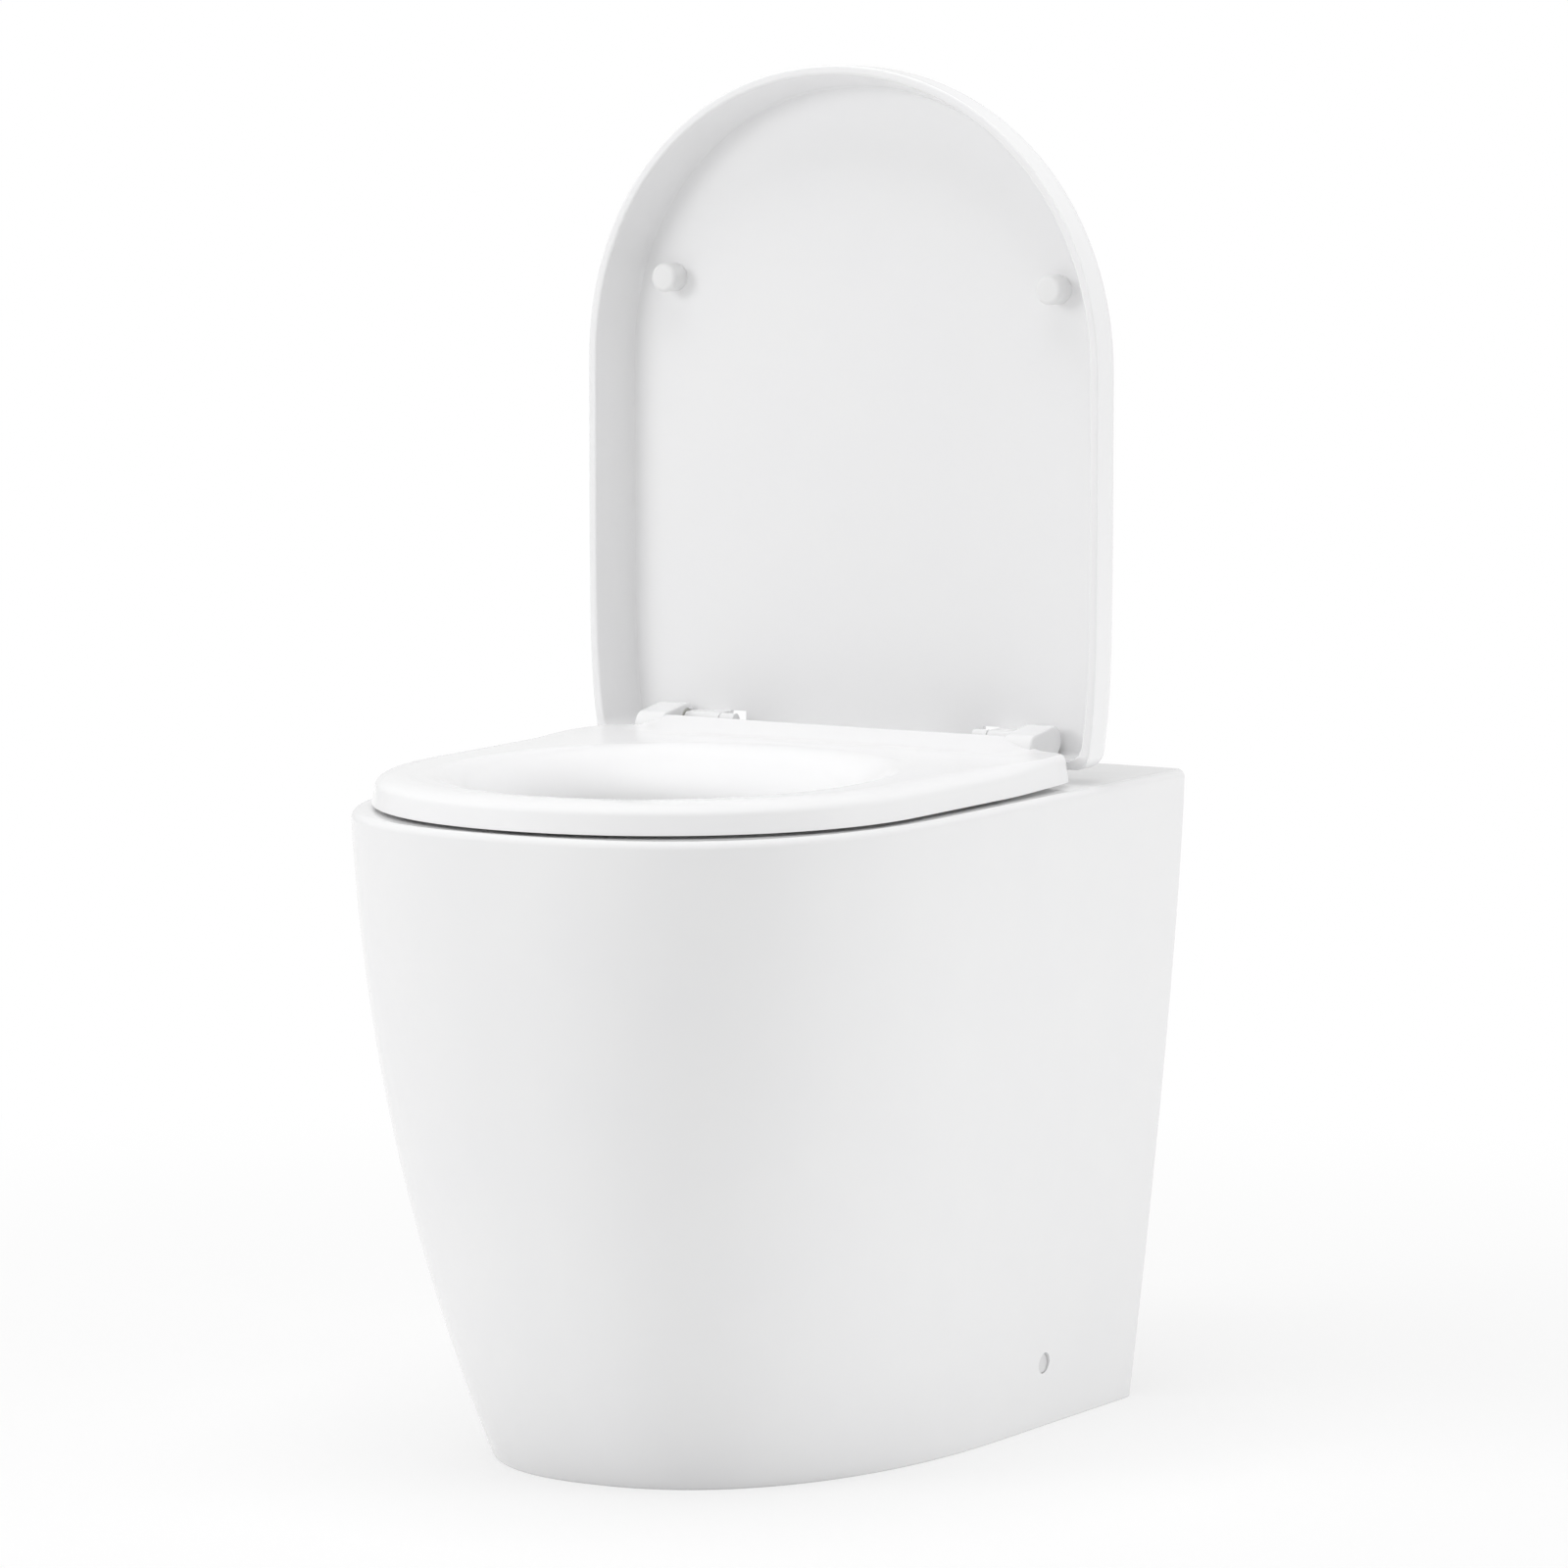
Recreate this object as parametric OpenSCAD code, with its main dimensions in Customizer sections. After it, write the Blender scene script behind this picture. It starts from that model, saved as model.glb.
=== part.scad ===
// Back to wall toilet: a china pan, a seat ring and a wrap-over lid on soft-close hinges.
// The origin is on the floor under the middle of the footprint. +Z is up, the front faces -Y,
// and the wall stands at y = pan_l / 2. The lid is drawn open and the seat down.

/* [Pan] */
// Height of the rim above the floor
pan_h = 400; // [385:1:430]
// Length of the rim from the wall to the front
pan_l = 505; // [490:1:560]
// Width across the rim
pan_w = 366; // [356:1:390]
// Length of the foot on the floor
foot_l = 412; // [400:1:440]
// Width across the foot on the floor
foot_w = 292; // [280:1:310]
// Length of the curved front at the rim
rim_nose_l = 230; // [215:1:245]
// Length of the curved front at the floor
foot_nose_l = 245; // [225:1:255]
// Squareness of the curved front at the rim, where 2 is an ellipse
rim_square = 2.6; // [2.2:0.1:3]
// Squareness of the curved front at the floor
foot_square = 2.3; // [2:0.1:2.8]
// Power of the side taper from rim to floor, where 1 is straight
side_power = 1.3; // [1:0.05:1.6]
// Power of the front taper from rim to floor
front_power = 2.2; // [1.8:0.05:2.6]
// Thickness of the china
china = 11; // [9:0.5:13]
// Thickness of the deck and rim
deck_t = 20; // [17:1:24]
// Radius along the outer edge of the rim
rim_r = 5; // [3:0.5:7]
// Radius of the upright corners at the wall
wall_corner_r = 3; // [2:0.5:5]

/* [Bowl] */
// Half width of the bowl at the rim
bowl_a = 120; // [112:1:126]
// Half length of the bowl at the rim
bowl_b = 136; // [128:1:140]
// Distance from the wall to the middle of the bowl at the rim
bowl_d = 317; // [310:1:324]
// Radius along the inner edge of the rim
lip_r = 5; // [3:0.5:7]
// Radius of the sump at the bottom of the bowl
sump_r = 38; // [34:1:42]
// Distance from the wall to the middle of the sump
sump_d = 276; // [270:1:282]
// Height of the lowest point of the bowl
sump_z = 88; // [84:1:96]

/* [Waterways] */
// Inner radius of the trapway at the sump
trap_r = 27; // [25:0.5:29]
// Inner radius of the outlet
outlet_r = 45; // [42:0.5:46]
// Outer radius of the outlet spigot
spigot_r = 51; // [50:0.5:52]
// Height of the outlet above the floor
outlet_z = 180; // [176:1:186]
// Distance from the wall to the end of the spigot
spigot_d = 20; // [12:1:30]
// Clear length of the round spigot
spigot_l = 40; // [36:1:44]
// Height of the flush inlet above the floor
inlet_z = 333; // [330:1:336]
// Outer radius of the flush inlet socket
inlet_r = 38; // [36:0.5:40]
// Inner radius of the flush inlet socket
inlet_bore_r = 27.5; // [26:0.5:29]
// Distance from the wall to the mouth of the inlet socket
inlet_d = 50; // [44:1:60]
// Radius of the flush pipe that the seal takes
flush_pipe_r = 22.5; // [21:0.5:23]
// Length of the seal inside the socket
seal_l = 30; // [24:1:36]

/* [Seat] */
// Space between the rim and the seat ring
seat_gap = 3; // [2.5:0.5:4]
// Thickness of the seat ring
seat_t = 17.5; // [16:0.5:19]
// How far the ring's side stands in from the pan's side
seat_side_inset = 9.5; // [9:0.5:14]
// How far the ring's front stands in from the pan's front
seat_front_inset = 5; // [4:0.5:8]
// Length of the curved front of the ring
seat_nose_l = 178; // [170:1:190]
// Squareness of the ring's and lid's curved front
seat_square = 2.06; // [2:0.02:2.2]
// Distance from the hinge axis forward to the back edge of the ring
seat_back = 21; // [19:0.5:24]
// How far the sides of ring and lid draw in at the back
side_ease = 5; // [2:0.5:7]
// Radius of the ring's and lid's back corners
back_corner_r = 12; // [9:0.5:15]
// Half width of the seat opening
opening_a = 106; // [98:1:110]
// Half length of the seat opening
opening_b = 122; // [112:1:126]
// Squareness of the seat opening
opening_square = 2.1; // [2:0.05:2.4]
// Distance from the wall to the middle of the seat opening
opening_d = 322; // [316:1:328]
// Inward slope of the ring's outer side
seat_draft = 2; // [2:0.5:3]
// Radius of the four pads under the ring
pad_r = 8; // [6:0.5:10]

/* [Lid] */
// Gap between the seat ring and the lid's wall
lid_gap = 3.3; // [3:0.1:4]
// Thickness of the lid's wall at its rim
lid_wall = 5.2; // [4.6:0.2:6]
// Height of the closed lid's rim above the pan
lid_lift = 4; // [3.5:0.5:5]
// Depth of the lid from its rim to its top
lid_depth = 35; // [34.5:0.5:38]
// Thickness of the lid's panel
lid_panel = 3.5; // [3:0.5:4]
// How far the lid's inner wall leans in from rim to panel
lid_draft = 9; // [7:0.5:10]
// Radius along the outer edge of the lid's top
lid_round = 18; // [14:0.5:20]
// Radius along the top edge at the lid's rear
lid_back_round = 10; // [7:0.5:11]
// Thickness of the lid's rear wall
lid_back_wall = 5; // [4:0.5:5.5]
// Radius of the two buffers in the lid
buffer_r = 9; // [7:0.5:10]
// Distance of each buffer from the lid's outer side
buffer_side = 44.5; // [40:0.5:52]
// Distance of the buffers from the lid's front edge
buffer_tip = 135.5; // [127:1:148]

/* [Hinges] */
// Distance from the wall to the hinge axis
hinge_d = 96; // [92:1:100]
// Height of the hinge axis above the rim
hinge_rise = 24; // [23.5:0.25:24.5]
// Radius of the seat's hinge lugs
lug_r = 9.5; // [9:0.5:10]
// Width of each seat lug
lug_w = 20; // [19:0.5:22]
// Distance from the middle to the outer face of each seat lug
lug_x = 142; // [140:0.5:146]
// Thickness of each seat lug's outer wall
lug_wall = 3; // [2.5:0.25:4]
// Radius of the seat lugs' round nose
lug_nose_r = 8.7; // [8:0.1:9.2]
// Distance from the hinge axis forward to the middle of the nose
lug_nose_ahead = 22.3; // [21:0.1:24]
// How far the middle of the nose lies below the hinge axis
lug_nose_low = 2.5; // [1.5:0.1:3.5]
// Clearance round the seat lugs inside the lid's rear wall
lug_gap = 0.5; // [0.4:0.1:0.8]
// Radius of the lid's hinge arms and of the posts' heads
arm_r = 4.75; // [4.5:0.25:5.5]
// Width of each hinge arm of the lid
arm_w = 24.8; // [22:0.2:26]
// Radius of the hinge pins
pin_r = 2.5; // [2.3:0.1:2.8]
// Radial clearance of a pin in its bore
pin_fit = 0.06; // [0.04:0.01:0.1]
// Gap between neighbouring parts along the hinge axis
side_gap = 0.6; // [0.4:0.1:1]
// Radius of the soft-close dampers
damper_r = 6.4; // [6:0.1:6.8]
// Width of a post along the hinge axis
post_w = 10; // [8:0.5:12]
// Thickness of the wall that closes the inner end of a post's bore
post_cap = 2; // [1.5:0.25:2.5]
// Distance between the two fixing holes in the deck
hole_spacing = 155; // [150:1:158]
// Radius of the fixing holes in the deck
hole_r = 7.5; // [7:0.25:8]
// Thickness of the posts' base plates
plate_t = 4; // [3.5:0.5:4.5]
// Width of the base plates, front to back
plate_w = 26; // [24:0.5:28]
// Thickness of the gaskets under the base plates
gasket_t = 1; // [0.8:0.1:1.2]
// Radius of the fixing bolts
bolt_r = 3; // [2.5:0.1:3.2]
// Length of the fixing bolts below the base plates
bolt_l = 37; // [34:1:42]

/* [Floor fixing] */
// Height of the side holes above the floor
side_z = 41.5; // [36:0.5:46]
// Distance from the wall to the side holes
side_d = 122.5; // [115:0.5:135]
// Radius of the side holes
side_hole_r = 6.6; // [6:0.1:7.5]
// Depth of the caps below the china's face
cap_sunk = 1.5; // [1:0.1:2.5]
// Thickness of the caps
cap_t = 2.5; // [2:0.1:3]
// Radius of the side screws
screw_r = 3; // [2.5:0.1:3.5]
// Length of the side screws
screw_l = 30; // [26:1:34]
// Width of the floor brackets along the wall
bracket_w = 36; // [30:1:44]
// Length of the brackets' feet
bracket_foot = 52; // [46:1:60]
// Thickness of the brackets' feet
bracket_t = 6; // [5:0.5:8]
// Radius of the holes for the floor screws
floor_hole_r = 4; // [3.5:0.25:4.5]

/* [Hidden] */
$fn = 48;

china_white = [0.93, 0.93, 0.92];
seat_white = [0.95, 0.95, 0.95];
pale_rubber = [0.85, 0.85, 0.85];
dark_rubber = [0.25, 0.25, 0.27];
steel = [0.7, 0.71, 0.73];
nylon = [0.82, 0.82, 0.8];

// Steps along the curved front, the side and the back corner of every outline
nose_steps = 16;
side_steps = 6;
corner_steps = 3;
// Power of the draw-in along a side, so that it comes just before the back corner
ease_power = 7;
cut = 1;
seat_fit = 0.2;
flush_fit = 0.3;
// How far the trapway runs on inside the spigot
spigot_root = 5;

wall_y = pan_l / 2;
hinge_y = wall_y - hinge_d;
hinge_z = pan_h + hinge_rise;
seat_z = pan_h + seat_gap;
seat_top = seat_z + seat_t;
seat_half = pan_w / 2 - seat_side_inset;
seat_front = pan_l - seat_front_inset;
lid_z = pan_h + lid_lift;
lid_top = lid_z + lid_depth;
lid_ceiling = lid_top - lid_panel;
lid_grow = lid_gap + lid_wall;
buffer_x = seat_half + lid_grow - buffer_side;
buffer_reach = seat_front + lid_grow - hinge_d - buffer_tip;
hole_x = hole_spacing / 2;
lug_in = lug_x - lug_w;
arm_out = lug_in - side_gap;
arm_in = arm_out - arm_w;
post_out = arm_in - side_gap;
post_in = post_out - post_w;
// Each pin runs from the closed end of its post's bore to just short of its damper's end
pin_short = 4;
pin_in = post_in + post_cap + flush_fit;
pin_end = lug_x - lug_wall - pin_short;

function mixed(a, b, t) = a + (b - a) * t;
function smooth(s) = s * s * (3 - 2 * s);
function tapered(top, bottom, power, z) =
    mixed(top, bottom, pow(max(0, 1 - z / (pan_h - rim_r)), power));

// Right half of a D with its straight end towards the wall, counterclockwise from the front.
// front and back are distances from the wall, and nose is the length of the curved front.
function d_half(half, front, back, nose, square, ease, r, back_steps) = concat(
    [for (i = [0 : nose_steps]) let (a = 90 * i / nose_steps)
        [half * pow(sin(a), 2 / square), wall_y - front + nose * (1 - pow(cos(a), 2 / square))]],
    [for (i = [1 : side_steps]) let (q = i / side_steps)
        [half - ease * pow(q, ease_power), wall_y - mixed(front - nose, back + r, q)]],
    [for (i = [1 : corner_steps]) let (a = 90 * i / corner_steps)
        [half - ease - r + r * cos(a), wall_y - back - r + r * sin(a)]],
    [for (i = [1 : back_steps])
        [(half - ease - r) * (1 - i / back_steps), wall_y - back]]);
function both_sides(half) = concat(half, [for (i = [len(half) - 2 : -1 : 1]) [-half[i].x, half[i].y]]);
function at_height(outline, z) = [for (p = outline) [p.x, p.y, z]];

// Oval whose half axes are a and b, round a middle at the distance d from the wall
function oval(a, b, d, square, steps) = [for (i = [0 : steps - 1]) let (t = 360 * i / steps)
    [a * sign(cos(t)) * pow(abs(cos(t)), 2 / square),
     wall_y - d + b * sign(sin(t)) * pow(abs(sin(t)), 2 / square)]];

// Solid skin over a stack of rings that have as many points each, lowest first
module loft(rings) {
    n = len(rings[0]);
    m = len(rings);
    polyhedron(
        points = [for (ring = rings) for (p = ring) p],
        faces = concat(
            [for (k = [0 : m - 2]) for (i = [0 : n - 1]) let (j = (i + 1) % n)
                [k * n + i, (k + 1) * n + i, (k + 1) * n + j]],
            [for (k = [0 : m - 2]) for (i = [0 : n - 1]) let (j = (i + 1) % n)
                [k * n + i, (k + 1) * n + j, k * n + j]],
            [[for (i = [0 : n - 1]) i]],
            [[for (i = [n - 1 : -1 : 0]) (m - 1) * n + i]]));
}

// Closed band: rings run round it, and each ring is followed by the next up to the first again
module band(rings) {
    n = len(rings[0]);
    m = len(rings);
    polyhedron(
        points = [for (ring = rings) for (p = ring) p],
        faces = [for (k = [0 : m - 1]) for (i = [0 : n - 1])
            let (j = (i + 1) % n, a = k * n, b = ((k + 1) % m) * n)
            for (f = [[a + i, b + j, b + i], [a + i, a + j, b + j]]) f]);
}

// Profile drawn in Y and Z, carried along X
module across(x0, x1) {
    translate([x0, 0, 0])
        rotate([90, 0, 90])
            linear_extrude(x1 - x0)
                children();
}

// Round bar along X about the hinge axis
module hinge_bar(r, x0, x1) {
    translate([x0, hinge_y, hinge_z])
        rotate([0, 90, 0])
            cylinder(r = r, h = x1 - x0);
}

// Round bar along Y, from the distance near to the distance far from the wall
module back_bar(r, near, far, z) {
    translate([0, wall_y - near, z])
        rotate([90, 0, 0])
            cylinder(r = r, h = far - near);
}

module on_both_sides() {
    children();
    mirror([1, 0, 0])
        children();
}

// ---- Pan ----

function pan_ring(z, inset, back) = at_height(both_sides(d_half(
    tapered(pan_w / 2, foot_w / 2, side_power, z) - inset,
    tapered(pan_l, foot_l, front_power, z) - inset,
    back,
    tapered(rim_nose_l, foot_nose_l, 1, z) - inset,
    tapered(rim_square, foot_square, 1, z),
    0, wall_corner_r, 1)), z);

pan_rings = 10;
edge_steps = 4;

module pan_outside() {
    loft(concat(
        [for (k = [0 : pan_rings]) pan_ring((pan_h - rim_r) * k / pan_rings, 0, 0)],
        [for (k = [1 : edge_steps]) let (a = 90 * k / edge_steps)
            pan_ring(pan_h - rim_r + rim_r * sin(a), rim_r * (1 - cos(a)), 0)]));
}

module pan_hollow() {
    loft([for (k = [0 : pan_rings])
        pan_ring(mixed(-cut, pan_h - deck_t, k / pan_rings), china, -2 * cut)]);
}

// Ring of the bowl at the share s of the way from the sump up to the rim
bowl_square = 2.2;
bowl_points = 40;
bowl_rings = 12;
function bowl_ring(s, grow, z) = at_height(oval(
    mixed(sump_r, bowl_a, smooth(s)) + grow,
    mixed(sump_r, bowl_b, smooth(s)) + grow,
    mixed(sump_d, bowl_d, s), bowl_square, bowl_points), z);

module bowl_outside() {
    top = pan_h - deck_t / 2;
    low = sump_z - china;
    loft(concat(
        [bowl_ring(0, 0, low)],
        [for (k = [0 : bowl_rings]) let (s = k / bowl_rings)
            bowl_ring(s, china, mixed(low + china / 2, top, s))]));
}

module bowl_inside() {
    top = pan_h - lip_r;
    loft(concat(
        [bowl_ring(0, -sump_r / 2, sump_z)],
        [for (k = [0 : bowl_rings]) let (s = k / bowl_rings)
            bowl_ring(s, 0, mixed(sump_z + sump_r / 5, top, s))],
        [for (k = [1 : edge_steps]) let (a = 90 * k / edge_steps)
            bowl_ring(1, lip_r * (1 - cos(a)), top + lip_r * sin(a))],
        [bowl_ring(1, lip_r, pan_h + cut)]));
}

// Middle line of the trapway: out of the sump, up and over the weir, down to the outlet.
// Each point is [distance from the wall, height]; the middle bends are given from the sump.
function bezier(p, t) = pow(1 - t, 3) * p[0] + 3 * t * pow(1 - t, 2) * p[1]
    + 3 * t * t * (1 - t) * p[2] + pow(t, 3) * p[3];
trap_start = 14;
climb_run = 86;
climb_rise = 74;
crest_run = 172;
crest_rise = 24;
climb_bend = [54, 8];
mid_bend = [24, 40];
crest_bend = [24, 32];
fall_bend = [15, 20];
end_bend = 20;
trap_low = sump_z + trap_r + 1;
trap_mid_d = sump_d - climb_run;
trap_mid_z = trap_low + climb_rise;
trap_over_d = sump_d - crest_run;
trap_over_z = outlet_z + crest_rise;
trap_end_d = spigot_d + spigot_l - spigot_root;
// A little thinner than the spigot's wall, so that the spigot is round all the way
trap_wall = spigot_r - outlet_r - flush_fit;
trap_climb = [[sump_d + trap_start, trap_low], [sump_d - climb_bend.x, trap_low - climb_bend.y],
    [trap_mid_d + mid_bend.x, trap_mid_z - mid_bend.y], [trap_mid_d, trap_mid_z]];
trap_crest = [[trap_mid_d, trap_mid_z], [trap_mid_d - mid_bend.x, trap_mid_z + mid_bend.y],
    [trap_over_d + crest_bend.x, trap_over_z + crest_bend.y], [trap_over_d, trap_over_z]];
trap_fall = [[trap_over_d, trap_over_z], [trap_over_d - fall_bend.x, trap_over_z - fall_bend.y],
    [trap_end_d + end_bend, outlet_z], [trap_end_d, outlet_z]];
trap_steps = 5;
trap_points = 20;
trap_line = concat(
    [for (i = [0 : trap_steps - 1]) bezier(trap_climb, i / trap_steps)],
    [for (i = [0 : trap_steps - 1]) bezier(trap_crest, i / trap_steps)],
    [for (i = [0 : trap_steps]) bezier(trap_fall, i / trap_steps)]);

// Round tube along the trapway's middle line, wider by grow, from the ring first to the ring last
module trapway(grow, first, last) {
    loft([for (i = [first : last])
        let (
            ahead = trap_line[min(i + 1, len(trap_line) - 1)],
            behind = trap_line[max(i - 1, 0)],
            way = (ahead - behind) / norm(ahead - behind),
            r = mixed(trap_r, outlet_r, smooth(i / (len(trap_line) - 1))) + grow,
            side = [-way.y, way.x])
        [for (k = [0 : trap_points - 1]) let (a = 360 * k / trap_points)
            [r * cos(a), wall_y - trap_line[i].x - r * sin(a) * side.x, trap_line[i].y + r * sin(a) * side.y]]]);
}

module pan() {
    color(china_white)
        difference() {
            union() {
                difference() {
                    pan_outside();
                    pan_hollow();
                }
                bowl_outside();
                trapway(trap_wall, 0, len(trap_line) - 1);
                back_bar(spigot_r, spigot_d, spigot_d + spigot_l, outlet_z);
                back_bar(inlet_r, inlet_d, bowl_d - bowl_b, inlet_z);
            }
            bowl_inside();
            trapway(0, 0, len(trap_line) - 1);
            back_bar(outlet_r, spigot_d - cut, spigot_d + spigot_l, outlet_z);
            back_bar(inlet_bore_r, inlet_d - cut, bowl_d - bowl_b + 4 * china, inlet_z);
            on_both_sides() {
                translate([hole_x, hinge_y, pan_h - deck_t - cut])
                    cylinder(r = hole_r, h = deck_t + 2 * cut);
                side_bar(side_hole_r, foot_w / 2 - 2 * china, pan_w / 2);
            }
        }
}

// ---- Flush inlet ----

seal_lip = 3;

module inlet_seal() {
    color(dark_rubber)
        difference() {
            union() {
                back_bar(inlet_bore_r - flush_fit, inlet_d, inlet_d + seal_l, inlet_z);
                back_bar(inlet_r - seal_lip, inlet_d - seal_lip, inlet_d, inlet_z);
            }
            back_bar(flush_pipe_r, inlet_d - seal_lip - cut, inlet_d + seal_l + cut, inlet_z);
        }
}

// ---- Floor fixing ----

// Round bar along X through the right side hole
module side_bar(r, x0, x1) {
    translate([x0, wall_y - side_d, side_z])
        rotate([0, 90, 0])
            cylinder(r = r, h = x1 - x0);
}

side_face = tapered(pan_w / 2, foot_w / 2, side_power, side_z);
cap_out = side_face - cap_sunk;
cap_in = cap_out - cap_t;
screw_head_l = 3.2;
screw_head_r = 5.4;
head_out = cap_in - flush_fit;
head_in = head_out - screw_head_l;
// Space between the inside of the china and the bracket's post
bracket_clear = 5;
post_face = foot_w / 2 - china - bracket_clear;
bracket_post_t = 14;
// How far the post stands above the screw, and its gusset ends below the post's top
post_rise = 11;
gusset_drop = 14;
nut_half = 5;
nut_t = 4;

module floor_bracket() {
    foot_in = post_face - bracket_foot;
    post_top = side_z + post_rise;
    difference() {
        union() {
            translate([foot_in, wall_y - side_d - bracket_w / 2, 0])
                cube([bracket_foot, bracket_w, bracket_t]);
            translate([post_face - bracket_post_t, wall_y - side_d - bracket_w / 2, 0])
                cube([bracket_post_t, bracket_w, post_top]);
            translate([0, wall_y - side_d - bracket_t / 2, 0])
                rotate([90, 0, 0])
                    mirror([0, 0, 1])
                        linear_extrude(bracket_t)
                            polygon([
                                [post_face - bracket_post_t, bracket_t],
                                [post_face - bracket_post_t, post_top - gusset_drop],
                                [foot_in + bracket_foot / 2, bracket_t]]);
        }
        side_bar(screw_r + seat_fit, post_face - bracket_post_t - cut, post_face + cut);
        translate([post_face - bracket_post_t / 2 - nut_t / 2 - seat_fit, wall_y - side_d - nut_half - seat_fit,
                side_z - nut_half - seat_fit])
            cube([nut_t + 2 * seat_fit, 2 * (nut_half + seat_fit), post_top]);
        translate([foot_in + bracket_foot / 4, wall_y - side_d, -cut])
            cylinder(r = floor_hole_r, h = bracket_t + 2 * cut);
    }
}

module floor_bracket_left() {
    color(nylon)
        mirror([1, 0, 0])
            floor_bracket();
}

module floor_bracket_right() {
    color(nylon)
        floor_bracket();
}

module captive_nuts() {
    color(steel)
        on_both_sides()
            difference() {
                translate([post_face - bracket_post_t / 2 - nut_t / 2, wall_y - side_d - nut_half, side_z - nut_half])
                    cube([nut_t, 2 * nut_half, 2 * nut_half]);
                side_bar(screw_r + seat_fit / 2, post_face - bracket_post_t, post_face);
            }
}

module side_bushes() {
    color(nylon)
        on_both_sides()
            difference() {
                side_bar(side_hole_r - seat_fit, post_face, head_in);
                side_bar(screw_r + seat_fit, post_face - cut, head_in + cut);
            }
}

module side_screws() {
    color(steel)
        on_both_sides() {
            side_bar(screw_head_r, head_in, head_out);
            side_bar(screw_r, head_in - screw_l, head_in + cut);
        }
}

module side_caps() {
    color(china_white)
        on_both_sides()
            side_bar(side_hole_r - seat_fit, cap_in, cap_out);
}

// ---- Hinges ----

gasket_z = pan_h + gasket_t;
plate_z = gasket_z + plate_t;
// How far inside its bolt a base plate's round end is centred, and how far the plate passes its post
plate_margin = 1;
plate_reach = 6;
plate_in = hole_x - plate_w / 2 - plate_margin;
plate_out = post_out + plate_reach;
gasket_inset = 0.5;
// Height of the bolts' 45 degree head cone
csk = 3;
nut_cone_l = 8;
nut_cone_wall = 2;
bolt_end = gasket_z - bolt_l;

// Outline of a base plate, round at both ends
module plate_outline(grow) {
    r = plate_w / 2 + grow;
    translate([plate_in + plate_w / 2, hinge_y])
        circle(r = r);
    translate([plate_out - plate_w / 2, hinge_y])
        circle(r = r);
    translate([plate_in + plate_w / 2, hinge_y - r])
        square([plate_out - plate_in - plate_w, 2 * r]);
}

module hinge_gaskets() {
    color(pale_rubber)
        on_both_sides()
            difference() {
                translate([0, 0, pan_h])
                    linear_extrude(gasket_t)
                        plate_outline(-gasket_inset);
                translate([hole_x, hinge_y, pan_h - cut])
                    cylinder(r = bolt_r + 2 * seat_fit, h = gasket_t + 2 * cut);
            }
}

module hinge_post() {
    difference() {
        union() {
            translate([0, 0, gasket_z])
                linear_extrude(plate_t)
                    plate_outline(0);
            translate([post_in, hinge_y - arm_r, plate_z - cut])
                cube([post_w, 2 * arm_r, hinge_z - plate_z + cut]);
            hinge_bar(arm_r, post_in, post_out);
        }
        hinge_bar(pin_r + pin_fit, post_in + post_cap, post_out + cut);
        translate([hole_x, hinge_y, gasket_z - cut])
            cylinder(r = bolt_r + seat_fit, h = plate_t + 2 * cut);
        translate([hole_x, hinge_y, plate_z - csk + seat_fit])
            cylinder(r1 = bolt_r + seat_fit, r2 = bolt_r + csk, h = csk - seat_fit);
    }
}

module hinge_post_left() {
    color(seat_white)
        mirror([1, 0, 0])
            hinge_post();
}

module hinge_post_right() {
    color(seat_white)
        hinge_post();
}

module hinge_bolts() {
    color(steel)
        on_both_sides()
            translate([hole_x, hinge_y, 0]) {
                translate([0, 0, bolt_end])
                    cylinder(r = bolt_r, h = plate_z - csk - bolt_end + seat_fit);
                translate([0, 0, plate_z - csk])
                    cylinder(r1 = bolt_r, r2 = bolt_r + csk - seat_fit, h = csk - seat_fit);
            }
}

module expanding_bushes() {
    color(dark_rubber)
        on_both_sides()
            translate([hole_x, hinge_y, bolt_end + nut_cone_l])
                difference() {
                    cylinder(r = hole_r - seat_fit, h = pan_h - bolt_end - nut_cone_l);
                    translate([0, 0, -cut])
                        cylinder(r = bolt_r + seat_fit, h = pan_h);
                }
}

module cone_nuts() {
    color(steel)
        on_both_sides()
            translate([hole_x, hinge_y, bolt_end])
                difference() {
                    cylinder(r1 = hole_r - 2 * seat_fit, r2 = bolt_r + nut_cone_wall, h = nut_cone_l);
                    translate([0, 0, -cut])
                        cylinder(r = bolt_r + seat_fit / 2, h = nut_cone_l + 2 * cut);
                }
}

module hinge_pin() {
    hinge_bar(pin_r, pin_in, pin_end);
}

module hinge_pin_left() {
    color(steel)
        mirror([1, 0, 0])
            hinge_pin();
}

module hinge_pin_right() {
    color(steel)
        hinge_pin();
}

module damper() {
    difference() {
        hinge_bar(damper_r, lug_in + side_gap / 2, lug_x - lug_wall - side_gap / 2);
        hinge_bar(pin_r + pin_fit, lug_in - cut, pin_end + side_gap);
    }
}

module damper_left() {
    color(nylon)
        mirror([1, 0, 0])
            damper();
}

module damper_right() {
    color(nylon)
        damper();
}

// ---- Seat ----

seat_edge = 4.5;
seat_fall = 0.3;
inner_run = 14;
inner_drop = 12;
seat_back_steps = 8;
seat_outline = both_sides(d_half(seat_half, seat_front, hinge_d + seat_back, seat_nose_l,
    seat_square, side_ease, back_corner_r, seat_back_steps));

// Point of the seat opening that lies in the direction of the outline's point p
function opening_point(p) = let (
    v = [p.x, p.y - (wall_y - opening_d)],
    u = v / norm(v),
    r = pow(pow(abs(u.x) / opening_a, opening_square) + pow(abs(u.y) / opening_b, opening_square),
        -1 / opening_square))
    [u.x * r, wall_y - opening_d + u.y * r];

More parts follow.
